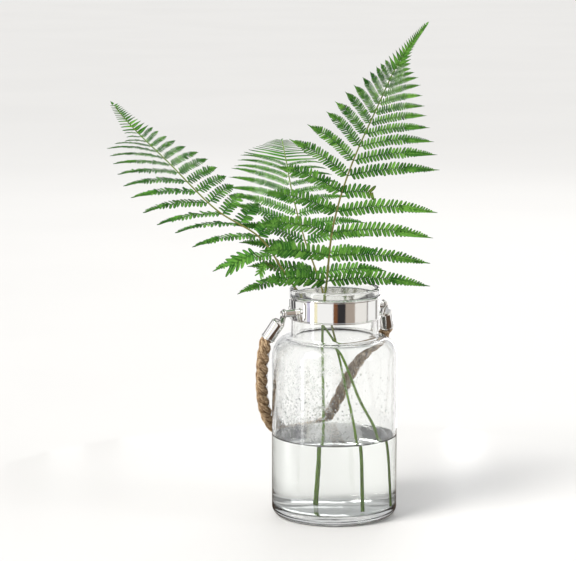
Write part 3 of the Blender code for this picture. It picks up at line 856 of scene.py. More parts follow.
def leaf_material(settings):
    material, nodes, shader = new_material("fern_leaf", Roughness=0.42, Specular_IOR_Level=0.14)
    place = object_place(nodes)
    attribute = {name: nodes.attribute(name) for name in ("tint", "dry", "under")}
    uv = nodes.uv_map("lobe")
    parts = nodes.split(uv)
    from_vein = nodes.math("ABSOLUTE", nodes.math("SUBTRACT", parts["Y"], 0.5))
    vein = nodes.rest_of(nodes.ramp(from_vein, 0.02, 0.09))
    slant = nodes.math("SUBTRACT", parts["X"], nodes.product(from_vein, 0.55))
    side_veins = nodes.math("SINE", nodes.product(slant, 38.0))
    side_veins = nodes.math("MULTIPLY_ADD", side_veins, 0.5, 0.5)

    patches = mottled(nodes, settings.fresh, settings.young, 48.0, 0.5)
    green = nodes.mix(attribute["tint"], patches, settings.young)
    deep = times(settings.fresh, 0.42)
    darker = nodes.product(attribute["tint"], -1.0, clamp=True)
    green = nodes.mix(darker, green, deep)
    # Painted shade in the groove where the lobes meet their midrib: darker towards each lobe's root.
    rib_groove_shade = nodes.rest_of(nodes.ramp(parts["X"], 0.02, 0.30))
    green = nodes.mix(nodes.product(rib_groove_shade, 0.55), green, deep)
    green = nodes.mix(nodes.product(side_veins, 0.28), green, deep)
    pale_vein = times(settings.young, 1.5)
    green = nodes.mix(nodes.product(vein, 0.45), green, pale_vein)
    green = nodes.mix(nodes.product(attribute["under"], 0.8), green, settings.under)
    edge_age = nodes.math("MULTIPLY_ADD", nodes.noise(place, 260.0, 2.0), 0.5, -0.25)
    age = nodes.ramp(nodes.math("ADD", attribute["dry"], edge_age), 0.3, 0.8)
    colour = nodes.mix(age, green, settings.dry)
    nodes.link(colour, shader["Base Color"])

    rough = nodes.math("MULTIPLY_ADD", nodes.noise(place, 120.0, 2.0), 0.22, 0.36)
    nodes.link(rough, shader["Roughness"])
    relief = nodes.math("MULTIPLY_ADD", side_veins, 0.5, nodes.product(vein, -1.0))
    bump(nodes, shader, relief, 0.0004, 0.9)
    return material


def stalk_material(settings):
    material, nodes, shader = new_material("fern_stalk", Roughness=0.42, Specular_IOR_Level=0.3)
    along = nodes.attribute("along")
    place = object_place(nodes)
    streak = nodes.noise(nodes.scaled(place, (1, 1, 0.06)), 1500.0, 2.0)
    woody = nodes.product(nodes.ramp(along, 0.34, 0.50), 0.75)
    woody = nodes.product(woody, nodes.rest_of(nodes.ramp(along, 0.62, 0.9)))
    patches = mottled(nodes, settings.stalk, times(settings.stalk, 1.5), 30.0, 0.6)
    colour = nodes.mix(woody, patches, settings.midrib)
    dark = times(settings.midrib, 0.45)
    colour = nodes.mix(nodes.product(nodes.ramp(streak, 0.5, 0.75), 0.5), colour, dark)
    nodes.link(colour, shader["Base Color"])
    bump(nodes, shader, streak, 0.0002, 0.6)
    return material


# ---------------------------------------------------------------- stage
class VASE_OT_stage(bpy.types.Operator):
    """Adds the camera, the pale floor and the soft lights"""

    bl_idname = "vase.stage"
    bl_label = "Stage"

    def execute(self, context):
        settings = context.scene.vase_stage
        deselect()
        bpy.ops.object.camera_add(location=(-0.056, -2.9, 0.75))
        camera = named("camera")
        camera.rotation_euler = (math.radians(90) - settings.tilt, 0, 0)
        camera.data.lens = settings.lens
        camera.data.sensor_width = 36
        context.scene.camera = camera

        floor = disc("floor", 96, 60, -0.0004)
        material, nodes, shader = new_material("pale_floor", Roughness=0.55, Specular_IOR_Level=0.3)
        tone = mottled(nodes, settings.floor, times(settings.floor, 0.97), 1.5, 0.6)
        nodes.link(tone, shader["Base Color"])
        floor.data.materials.append(material)
        floor.visible_glossy = False

        bpy.ops.object.light_add(type="SUN", location=(-2.4, -1.9, 2.8))
        sun = named("soft_sun")
        sun.data.energy = 2.5
        sun.data.angle = math.radians(28)
        sun.data.color = (1.0, 0.985, 0.96)
        sun.rotation_euler = Vector((2.4, 1.9, -2.8)).to_track_quat("-Z", "Y").to_euler()
        self.window("left_window", (-2.4, -1.7, 2.3), (1.1, 2.0), 22, (1.0, 0.99, 0.97))
        self.window("right_window", (2.7, -0.9, 1.7), (0.7, 2.0), 12, (0.95, 0.975, 1.0))
        self.window("back_window", (0.8, 2.8, 2.2), (2.2, 1.4), 16, (1.0, 1.0, 1.0))
        self.sky(context)
        self.cards()
        view = context.scene.view_settings
        view.view_transform = "Standard"
        view.look = "None"
        return {"FINISHED"}

    def window(self, name, place, size, watts, colour):
        """A soft rectangular light that faces the plant."""
        bpy.ops.object.light_add(type="AREA", location=place)
        light = named(name)
        light.data.shape = "RECTANGLE"
        light.data.size, light.data.size_y = size
        light.data.energy = watts
        light.data.color = colour
        aim = Vector((0, 0, 0.25)) - Vector(place)
        light.rotation_euler = aim.to_track_quat("-Z", "Y").to_euler()

    def sky(self, context):
        """A plain pale room."""
        world = bpy.data.worlds.new("soft_room")
        context.scene.world = world
        world.use_nodes = True
        background = world.node_tree.nodes["Background"]
        background.inputs["Color"].default_value = (0.93, 0.94, 0.95, 1)
        background.inputs["Strength"].default_value = 0.62

    def cards(self):
        """A ring of pale and dark studio cards, which only reflections show."""
        bpy.ops.mesh.primitive_cylinder_add(
            vertices=96, radius=0.5, depth=1.0, end_fill_type="NOTHING", location=(0, 0, 0.5)
        )
        ring = settle(named("reflection_cards"))
        lit = {"Emission_Strength": 1.08, "Base_Color": (0, 0, 0), "Specular_IOR_Level": 0.0}
        material, nodes, shader = new_material("studio_cards", Roughness=1.0, **lit)
        parts = nodes.split(object_place(nodes))
        bearing = nodes.math("ARCTAN2", parts["Y"], parts["X"])
        share = nodes.math("MULTIPLY_ADD", bearing, 1 / FULL_TURN, 0.5)
        ramp = nodes.add("ShaderNodeValToRGB", Fac=share)
        ramp.color_ramp.interpolation = "CONSTANT"
        stops = ramp.color_ramp.elements
        for number, (start, colour) in enumerate(CARDS):
            place = (start + 180) / 360
            stop = stops[0] if number == 0 else stops.new(place)
            stop.position = place
            stop.color = (*colour, 1)
        stops.remove(stops[len(stops) - 1])
        nodes.link(ramp.outputs["Color"], shader["Emission Color"])
        ring.data.materials.append(material)
        table = disc("reflection_table", 48, 0.5, -0.0008)
        dark = new_material("dark_table_card", Base_Color=TABLE, Roughness=1.0)[0]
        table.data.materials.append(dark)
        for card in (ring, table):
            for kind in ("camera", "diffuse", "transmission", "volume_scatter", "shadow"):
                setattr(card, f"visible_{kind}", False)


# ---------------------------------------------------------------- the rope
def rope_line(samples):
    """The rope's middle line in the row frame, and the points where it leaves the two ferrules."""
    place = hinge_place()
    starts = []
    mouths = []
    for side in (-1, 1):
        eye = Vector((side * EYE_RADIAL, 0, 0))
        axis = Vector((side * math.sin(FERRULE_LEAN), 0, -math.cos(FERRULE_LEAN)))
        starts.append(eye + axis * ROPE_START)
        mouths.append(eye + axis * (FERRULE_END + ROPE_STRAIGHT))
    route = [Vector((across, back, -down)) for across, back, down in ROPE_ROUTE]
    points = [starts[0], mouths[0], *route, mouths[1], starts[1]]
    return [place @ p for p in smooth_path(points, samples)], [place @ p for p in mouths]


def carried_axes(points):
    """Two directions across the line at each point, carried along it without twist."""
    axes = []
    across = None
    for i in range(len(points)):
        ahead = (points[min(i + 1, len(points) - 1)] - points[max(i - 1, 0)]).normalized()
        if across is None:
            across = ahead.orthogonal().normalized()
        across = (across - ahead * across.dot(ahead)).normalized()
        axes.append((across.copy(), ahead.cross(across)))
    return axes


class VASE_OT_rope(bpy.types.Operator):
    """Adds the twisted jute rope of the handle"""

    bl_idname = "vase.rope"
    bl_label = "Rope handle"

    def execute(self, context):
        settings = context.scene.vase_rope
        line, mouths = rope_line(ROPE_SAMPLES)
        axes = carried_axes(line)
        length = path_length(line)
        radius = settings.diameter / 2
        count = settings.strands
        offset = STRAND_OFFSET * radius / (1 + math.sin(math.pi / count))
        strand_radius = (radius - offset) * 1.02
        sides = settings.yarns * 4
        verts = []
        faces = []
        groove_shades = []
        maps = []
        for strand in range(count):
            first = len(verts)
            for i, (middle, (a, b)) in enumerate(zip(line, axes)):
                along = length * i / (len(line) - 1)
                lay = FULL_TURN * (strand / count - along / settings.pitch)
                out = around(a, b, lay)
                across = b * math.cos(lay) - a * math.sin(lay)
                swell = 1 + 0.03 * math.sin(along * 310 + strand * 2.1)
                for k in range(sides):
                    turn = FULL_TURN * k / sides
                    ridge = abs(math.cos(settings.yarns / 2 * turn + along * 420))
                    wander = 0.04 * math.sin(3 * turn + along * 900 + strand)
                    reach = strand_radius * swell * (0.93 + 0.13 * ridge + wander)
                    spot = around(out, across, turn)
                    place = middle + out * offset + spot * reach
                    verts.append(place)
                    # How deep in the lay this point lies, for the painted shade between the strands.
                    depth = (place - middle).length / radius
                    groove_shades.append(min(1.0, max(0.0, (0.74 - depth) / 0.30)))
            for i in range(len(line) - 1):
                for k in range(sides):
                    j = (k + 1) % sides
                    low, high = first + i * sides, first + (i + 1) * sides
                    faces.append((low + k, low + j, high + j, high + k))
                    for ring, step in ((i, k), (i, k + 1), (i + 1, k + 1), (i + 1, k)):
                        far = length * ring / (len(line) - 1)
                        maps.append((step / sides + strand * 0.37 + far * 3, far))
            faces.append(tuple(first + k for k in reversed(range(sides))))
            maps.extend((0.0, 0.0) for _ in range(sides))
            last = first + (len(line) - 1) * sides
            faces.append(tuple(last + k for k in range(sides)))
            maps.extend((0.0, 0.0) for _ in range(sides))
        rope = self.piece("rope", verts, faces, [x for pair in maps for x in pair], groove_shades)
        fuzz = self.fuzz(line, axes, radius)
        rope = smooth(joined("twisted_rope", [rope, fuzz]), 60)
        finish_piece(rope, HANDLE, jute_material(settings), "jute_rope", "rope_handle")
        return {"FINISHED"}

    def fuzz(self, line, axes, radius):
        """Loose fibre ends that stand off the rope."""
        rng = random.Random(41)
        verts = []
        faces = []
        for _ in range(LOOSE_FIBRES):
            i = rng.randrange(FERRULE_SAMPLES, len(line) - FERRULE_SAMPLES)
            a, b = axes[i]
            ahead = (line[i + 1] - line[i]).normalized()
            turn = rng.uniform(0, FULL_TURN)
            out = around(a, b, turn)
            side = out.cross(ahead)
            start = line[i] + out * radius * 0.86
            lean = rng.uniform(0.35, 1.2)
            run = (ahead * rng.choice((-1, 1)) + out * lean + side * rng.uniform(-0.8, 0.8)).normalized()
            reach = rng.uniform(0.0014, 0.0042)
            width = side * FIBRE_THICKNESS
            depth = ahead.cross(side) * FIBRE_THICKNESS
            corners = (width, depth - width / 2, -depth - width / 2)
            first = len(verts)
            for share in (0.0, 0.55):
                place = start + run * reach * share - out * reach * 0.25 * share**2
                verts.extend(place + corner * (1 - 0.5 * share) for corner in corners)
            verts.append(start + run * reach - out * reach * 0.45)
            for k in range(3):
                j = (k + 1) % 3
                faces.append((first + k, first + j, first + 3 + j, first + 3 + k))
                faces.append((first + 3 + k, first + 3 + j, first + 6))
            faces.append((first + 2, first + 1, first))
        corners = sum(len(face) for face in faces)
        return self.piece("fuzz", verts, faces, [0.5] * (2 * corners), [0.0] * len(verts))

    def piece(self, name, verts, faces, uv, groove_shades):
        """A new piece of the rope, with its map and how deep in the lay each point lies, which the jute's
        colour turns into painted shade between the strands.
        """
        mesh = bpy.data.meshes.new(name)
        mesh.from_pydata(verts, [], faces)
        mesh.uv_layers.new(name="lay").data.foreach_set("uv", uv)
        obj = linked(name, mesh)
        set_floats(obj, "groove_shade", groove_shades)
        return obj


# ---------------------------------------------------------------- the jar and its water
class VASE_OT_jar(bpy.types.Operator):
    """Adds the shouldered glass jar"""

    bl_idname = "vase.jar"
    bl_label = "Glass jar"

    def execute(self, context):
        sizes = context.scene.vase_jar
        foot = 0.010
        floor_bend = 0.006
        fillet = 0.003
        lip_height = 0.0094
        inner = sizes.radius - sizes.wall
        neck_inner = sizes.neck - sizes.wall
        shoulder = sizes.neck + fillet
        crown = sizes.shoulder + sizes.rise
        inner_fillet = shoulder - neck_inner
        lip_round = (sizes.lip - neck_inner) / 2
        lip_middle = neck_inner + lip_round
        lip_low = sizes.height - lip_height
        profile = [
            (0.0, sizes.floor + 0.0016),
            (0.020, sizes.floor + 0.0013),
            (0.040, sizes.floor + 0.0004),
            *arc((inner - floor_bend, sizes.floor + floor_bend), floor_bend, -90, 0, 8),
            (inner, 0.06),
            (inner, 0.12),
            (inner, 0.16),
            *arc((shoulder, sizes.shoulder), (inner - shoulder, sizes.rise - sizes.wall), 0, 80, 14),
            *arc((shoulder, crown - sizes.wall + inner_fillet), inner_fillet, -100, -180, 8),
            *arc((lip_middle, sizes.height - lip_round), lip_round, 180, 0, 14),
            *arc((sizes.lip - 0.0016, lip_low + 0.0016), 0.0016, 0, -80, 4),
            (sizes.neck, lip_low - 0.0002),
            (sizes.neck, (lip_low + crown) / 2),
            *arc((shoulder, crown + fillet), fillet, 180, 260, 6),
            *arc((shoulder, sizes.shoulder), (sizes.radius - shoulder, sizes.rise), 80, 0, 16),
            (sizes.radius, 0.16),
            (sizes.radius, 0.12),
            (sizes.radius, 0.06),
            *arc((sizes.radius - foot, foot), foot, 0, -82, 9),
            (sizes.radius - foot - 0.006, 0.0),
            (sizes.radius - foot - 0.012, 0.0009),
            (0.030, 0.0016),
            (0.0, 0.0018),
        ]
        jar = smooth(turned("glass_body", profile, 128), 50)
        set_floats(jar, "mist", [self.mist(sizes, vertex.co) for vertex in jar.data.vertices])
        finish_piece(jar, VASE, glass_material(sizes.glass), "clear_glass", "glass_jar")
        return {"FINISHED"}

    def mist(self, sizes, place):
        """How misted the glass is here: only inside, above the water and mostly on the cooler side."""
        radius = math.hypot(place.x, place.y)
        inside = sizes.radius - sizes.wall - 0.012 < radius < sizes.radius - sizes.wall / 2
        if not inside or place.z > sizes.shoulder + sizes.rise:
            return 0.0
        above = max(0.0, min(1.0, (place.z - sizes.water - 0.006) / 0.02))
        turn = abs((math.degrees(math.atan2(place.y, place.x)) - MIST_BEARING + 180) % 360 - 180)
        return above * max(0.0, 1 - (turn / MIST_SPREAD) ** 2)


class VASE_OT_water(bpy.types.Operator):
    """Adds the water, with its edge drawn up the glass"""

    bl_idname = "vase.water"
    bl_label = "Water"

    def execute(self, context):
        sizes = context.scene.vase_jar
        bite = 0.00012  # the water reaches this far into the glass, so that no film of air shows
        edge = sizes.radius - sizes.wall + bite
        low = sizes.floor - bite
        bend = 0.006
        profile = [
            (0.0, sizes.water),
            (0.030, sizes.water),
            (0.055, sizes.water + 0.00002),
            (edge - 0.0050, sizes.water + 0.00010),
            (edge - 0.0028, sizes.water + 0.00040),
            (edge - 0.0014, sizes.water + 0.0010),
            (edge - 0.0006, sizes.water + 0.0017),
            (edge, sizes.water + 0.0026),
            (edge, 0.060),
            *arc((edge - bend, low + bend), bend, 0, -90, 8),
            (0.040, low + 0.0004),
            (0.020, low + 0.0013),
            (0.0, low + 0.0016),
        ]
        water = smooth(turned("still_water", profile, 128), 60)
        finish_piece(water, VASE, water_material(sizes.wet), "water", "water")
        return {"FINISHED"}


class VASE_OT_droplets(bpy.types.Operator):
    """Adds the droplets of condensation on the inside of the jar"""

    bl_idname = "vase.droplets"
    bl_label = "Droplets"

    def execute(self, context):
        sizes = context.scene.vase_jar
        rng = random.Random(7)
        deselect()
        bpy.ops.mesh.primitive_uv_sphere_add(segments=8, ring_count=6, radius=1)
        pattern = named("droplet_pattern")
        with Editing(pattern):
            select_everything()
            low = (0, 0, -0.1)
            bpy.ops.mesh.bisect(plane_co=low, plane_no=(0, 0, 1), clear_inner=True, use_fill=True)
        smooth(pattern, 60)
        wall = sizes.radius - sizes.wall + 0.00003
        droplets = []
        for _ in range(sizes.drops):
            height = sizes.water + 0.006 + (sizes.shoulder - sizes.water - 0.004) * rng.random()
            share = (height - sizes.water) / (sizes.shoulder - sizes.water)
            if rng.random() < 0.72:
                bearing = math.radians(rng.gauss(MIST_BEARING, 24))
            else:
                bearing = rng.uniform(0, FULL_TURN)
            size = rng.uniform(0.00035, 0.00095) * (1.25 - 0.5 * share)
            if rng.random() < 0.05:
                size *= 1.9
            copy = linked("droplet", pattern.data.copy())
            on_wall = side_place(bearing, height) @ Matrix.Translation((0, 0, wall))
            inward = on_wall @ Matrix.Rotation(math.pi, 4, "X")
            copy.data.transform(inward @ Matrix.Diagonal((size, size * 1.15, size * 0.5, 1)))
            droplets.append(copy)
        bpy.data.objects.remove(pattern)
        drops = joined("condensation", droplets)
        finish_piece(drops, VASE, water_material((0.97, 0.98, 0.98), "condensed_water"), "water")
        return {"FINISHED"}


# ---------------------------------------------------------------- the metal fittings
def finish_metal(obj, body, node):
    """Finishes a metal piece with the plating that all of them share."""
    metal = bpy.data.materials.get("polished_plating")
    metal = metal or metal_material(bpy.context.scene.vase_fittings.metal)
    return finish_piece(obj, body, metal, "polished_metal", node)


class VASE_OT_fittings(bpy.types.Operator):
    """Adds the neck band, its pivot plates, the rivets and the pivot studs"""

    bl_idname = "vase.fittings"
    bl_label = "Neck fittings"

    def execute(self, context):
        sizes = context.scene.vase_fittings
        inner = context.scene.vase_jar.neck + 0.0004
        outer = inner + sizes.band_thickness
        bead = 0.0009
        profile = [
            (inner, sizes.band_high),
            (outer - 0.0005, sizes.band_high),
            *arc((outer, sizes.band_high - bead), bead, 90, -60, 8),
            (outer, sizes.band_high - 2 * bead - 0.0003),
            (outer, (sizes.band_low + sizes.band_high) / 2),
            (outer, sizes.band_low + 2 * bead + 0.0003),
            *arc((outer, sizes.band_low + bead), bead, 60, -90, 8),
            (outer - 0.0005, sizes.band_low),
            (inner, sizes.band_low),
        ]
        band = smooth(turned("polished_band", profile, 128, closed=True), 30)
        finish_metal(band, VASE, "neck_band")
        for side, turn_angle in (("right", PIVOT_TURN), ("left", PIVOT_TURN + math.pi)):
            self.plate(sizes, side, turn_angle, outer)
            self.stud(side, turn_angle)
            way = 1 if side == "right" else -1
            for end, step in (("front", -1), ("back", 1)):
                self.rivet(f"{side}_{end}", turn_angle + way * step * RIVET_TURN, outer)
        return {"FINISHED"}

    def plate(self, sizes, side, turn_angle, outer):
        """A curved plate with a round boss, which takes the pivot stud."""
        spread = sizes.plate_width / outer
        face = outer + PLATE_GAP + PLATE_THICKNESS
        seat = face - PLATE_THICKNESS / 2
        bpy.ops.mesh.primitive_plane_add(size=1)
        plate = named(f"pivot_plate_{side}")
        with Editing(plate):
            select_everything()
            bpy.ops.transform.resize(value=(PLATE_THICKNESS, PLATE_HIGH - PLATE_LOW, 1))
            bpy.ops.transform.rotate(value=math.radians(90), orient_axis="X", center_override=(0, 0, 0))
            bpy.ops.transform.translate(value=(seat, 0, (PLATE_LOW + PLATE_HIGH) / 2))
            bpy.ops.transform.rotate(value=spread / 2, orient_axis="Z", center_override=(0, 0, 0))
        with Editing(plate, "EDGE") as edit:
            select_everything()
            bpy.ops.mesh.spin(steps=16, angle=spread, center=(0, 0, 0), axis=(0, 0, 1))
            select_everything()
            bpy.ops.mesh.normals_make_consistent(inside=False)
            edges = [math.atan2(v.co.y, v.co.x) for v in bmesh.from_edit_mesh(plate.data).verts]
            ends = (min(edges), max(edges))

            def at_corner(edge, middle):
                along = (edge.verts[1].co - edge.verts[0].co).normalized()
                out = Vector((middle.x, middle.y, 0)).normalized()
                bearing = math.atan2(middle.y, middle.x)
                near_end = min(abs(bearing - e) for e in ends) < 0.004
                return abs(along.dot(out)) > 0.9 and near_end

            edit.select(at_corner)
            bpy.ops.mesh.bevel(offset=PLATE_CORNER, segments=5, affect="EDGES")
        middle = (ends[0] + ends[1]) / 2
        settle(plate, Matrix.Rotation(turn_angle - middle, 4, "Z"))
        bevel = plate.modifiers.new("soft_edges", "BEVEL")
        bevel.width = 0.0003
        bevel.segments = 2
        bevel.limit_method = "ANGLE"
        pick(plate)
        bpy.ops.object.modifier_apply(modifier=bevel.name)

        end = EYE_RADIAL - 0.001 - PLATE_GAP
        boss_profile = [
            (0.0, seat),
            (0.0058, seat),
            (0.0058, face),
            *arc((0.0058, face + 0.0012), 0.0012, -90, -170, 4),
            (0.0042, end - 0.0006),
            *arc((0.0036, end - 0.0006), 0.0006, 0, 90, 3),
            (0.0, end),
        ]
        boss = turned_on_side("boss", boss_profile, 32, turn_angle, PIVOT_HEIGHT)
        plate = smooth(joined(f"pivot_plate_{side}", [plate, boss]), 30)
        finish_metal(plate, VASE, f"lug_{side}")

    def stud(self, side, turn_angle):
        """The stud that a ferrule's eye turns on, with a dished head."""
        head = EYE_RADIAL + 0.0013
        start = EYE_RADIAL - 0.0093
        profile = [
            (0.0, head + 0.0010),
            (0.0018, head + 0.0010),
            (0.0024, head + 0.0016),
            *arc((0.0034, head + 0.0010), 0.0012, 110, 0, 6),
            (0.0046, head + 0.0002),
            (0.0044, head),
            (STUD_RADIUS, head),
            (STUD_RADIUS, start),
            (0.0, start),
        ]
        stud = turned_on_side(f"pivot_stud_{side}", profile, 32, turn_angle, PIVOT_HEIGHT)
        finish_metal(smooth(stud, 30), VASE, f"pivot_pin_{side}")

    def rivet(self, which, angle, outer):
        head = outer + PLATE_GAP + PLATE_THICKNESS + 0.0002
        profile = [
            *arc((0.0, head), (0.0027, 0.0014), 90, 0, 8),
            (0.0014, head),
            (0.0014, head - 0.0028),
            (0.0, head - 0.0028),
        ]
        rivet = turned_on_side(f"rivet_head_{which}", profile, 24, angle, RIVET_HEIGHT)
        finish_metal(smooth(rivet, 40), VASE, f"rivet_{which}")


class VASE_OT_ferrules(bpy.types.Operator):
    """Adds the two polished ferrules that cap the rope's ends"""

    bl_idname = "vase.ferrules"
    bl_label = "Ferrules"

    def execute(self, context):
        for side_name, side in (("left", -1), ("right", 1)):
            outer = FERRULE_RADIUS
            inner = outer - FERRULE_WALL
            cap = -FERRULE_START
            mouth = -FERRULE_END
            profile = [
                (0.0, cap),
                *arc((outer - 0.0026, cap - 0.0026), 0.0026, 90, 0, 6),
                (outer, mouth + 0.0024),
                *arc((outer, mouth + 0.0012), (0.0005, 0.0012), 90, -90, 6),
                (outer - 0.0002, mouth),
                (inner, mouth),
                (inner, cap - 0.0040),
                (0.0, cap - 0.0040),
            ]
            cup = turned("cup", profile, 48)
            lean = Matrix.Rotation(-side * FERRULE_LEAN, 4, "Y")
            place = hinge_place() @ Matrix.Translation((side * EYE_RADIAL, 0, 0))
            settle(cup, place @ lean)
            eye_profile = [
                (0.0022, -0.0010),
                (0.0050, -0.0010),
                *arc((0.0050, 0.0), 0.0010, -90, 90, 6),
                (0.0022, 0.0010),
            ]
            eye = turned("eye", eye_profile, 36, closed=True)
            settle(eye, place @ Matrix.Rotation(math.radians(90), 4, "Y"))
            bpy.ops.mesh.primitive_cube_add(size=1)
            strap = named("strap")
            top, bottom = -0.0036, -FERRULE_START - 0.0030
            with Editing(strap, "EDGE") as edit:
                select_everything()
                bpy.ops.transform.resize(value=(0.0020, 0.0102, top - bottom))
                bpy.ops.transform.translate(value=(0, 0, (top + bottom) / 2))
                edit.select(lambda edge, middle: abs(middle.y) > 0.004 and abs(middle.x) > 0.0005)
                bpy.ops.mesh.bevel(offset=0.0005, segments=2, affect="EDGES")
            settle(strap, place)
            ferrule = smooth(joined(f"polished_ferrule_{side_name}", [cup, eye, strap]), 35)
            finish_metal(ferrule, HANDLE, f"ferrule_{side_name}")
        return {"FINISHED"}


# ---------------------------------------------------------------- the fronds
class Stalk:
    """A frond's stalk and midrib, read by its share of the length from foot to tip."""

    def __init__(self, frond):
        self.points = smooth_path([Vector(p) for p in frond["path"]], 200)
        self.radii = frond["radii"]
        self.length = path_length(self.points)

    def point(self, share):
        place = min(max(share, 0.0), 1.0) * (len(self.points) - 1)
        low = min(int(place), len(self.points) - 2)
        return self.points[low].lerp(self.points[low + 1], place - low)

    def direction(self, share):
        return (self.point(share + 0.01) - self.point(share - 0.01)).normalized()

    def radius(self, share):
        return self.radii[0] + (self.radii[1] - self.radii[0]) * share**0.7


def reach_at(frond, place):
    """The left and right leaflets' reach at this place along the leafy part."""
    stations = frond["stations"]
    for (low, *from_reach), (high, *to_reach) in zip(stations, stations[1:]):
        if place <= high:
            break
    share = (place - low) / (high - low)
    return [Vector(a).lerp(Vector(b), share) for a, b in zip(from_reach, to_reach)]


def across_of(run, along, roll):
    """What is left of the second direction across the first, rolled about the first."""
    run = run.normalized()
    flat = (along - run * along.dot(run)).normalized()
    return Matrix.Rotation(math.radians(roll), 3, run) @ flat


def leaflet_outline(u, full):
    """Half the width of a leaflet at the share u of its length, as a share of its widest."""
    taper = 1.0 if u < full else 1 - ((u - full) / (1 - full)) ** 1.5
    return min(1.0, 0.78 + 2.2 * u) * max(0.0, taper)


class VASE_OT_stalks(bpy.types.Operator):
    """Adds the fronds' stalks, from their feet in the water to their tips"""

    bl_idname = "vase.stalks"
    bl_label = "Stalks"

    def execute(self, context):
        material = stalk_material(context.scene.vase_fern)
        for frond in FRONDS:
            stalk = Stalk(frond)
            end = 0.985
            shares = [end * i / 119 for i in range(120)]
            points = [stalk.point(share) for share in shares]
            radii = [stalk.radius(share) for share in shares]
            obj = tube(f"{frond['name']}_stem", points, radii, 12)
            nearest = []
            for vertex in obj.data.vertices:
                gaps = [(vertex.co - p).length_squared for p in points]
                nearest.append(shares[gaps.index(min(gaps))])
            set_floats(obj, "along", nearest)
            smooth(obj, 50)
            finish_piece(obj, VASE, material, "green_stalk", f"{frond['name']}_stalk")
        return {"FINISHED"}


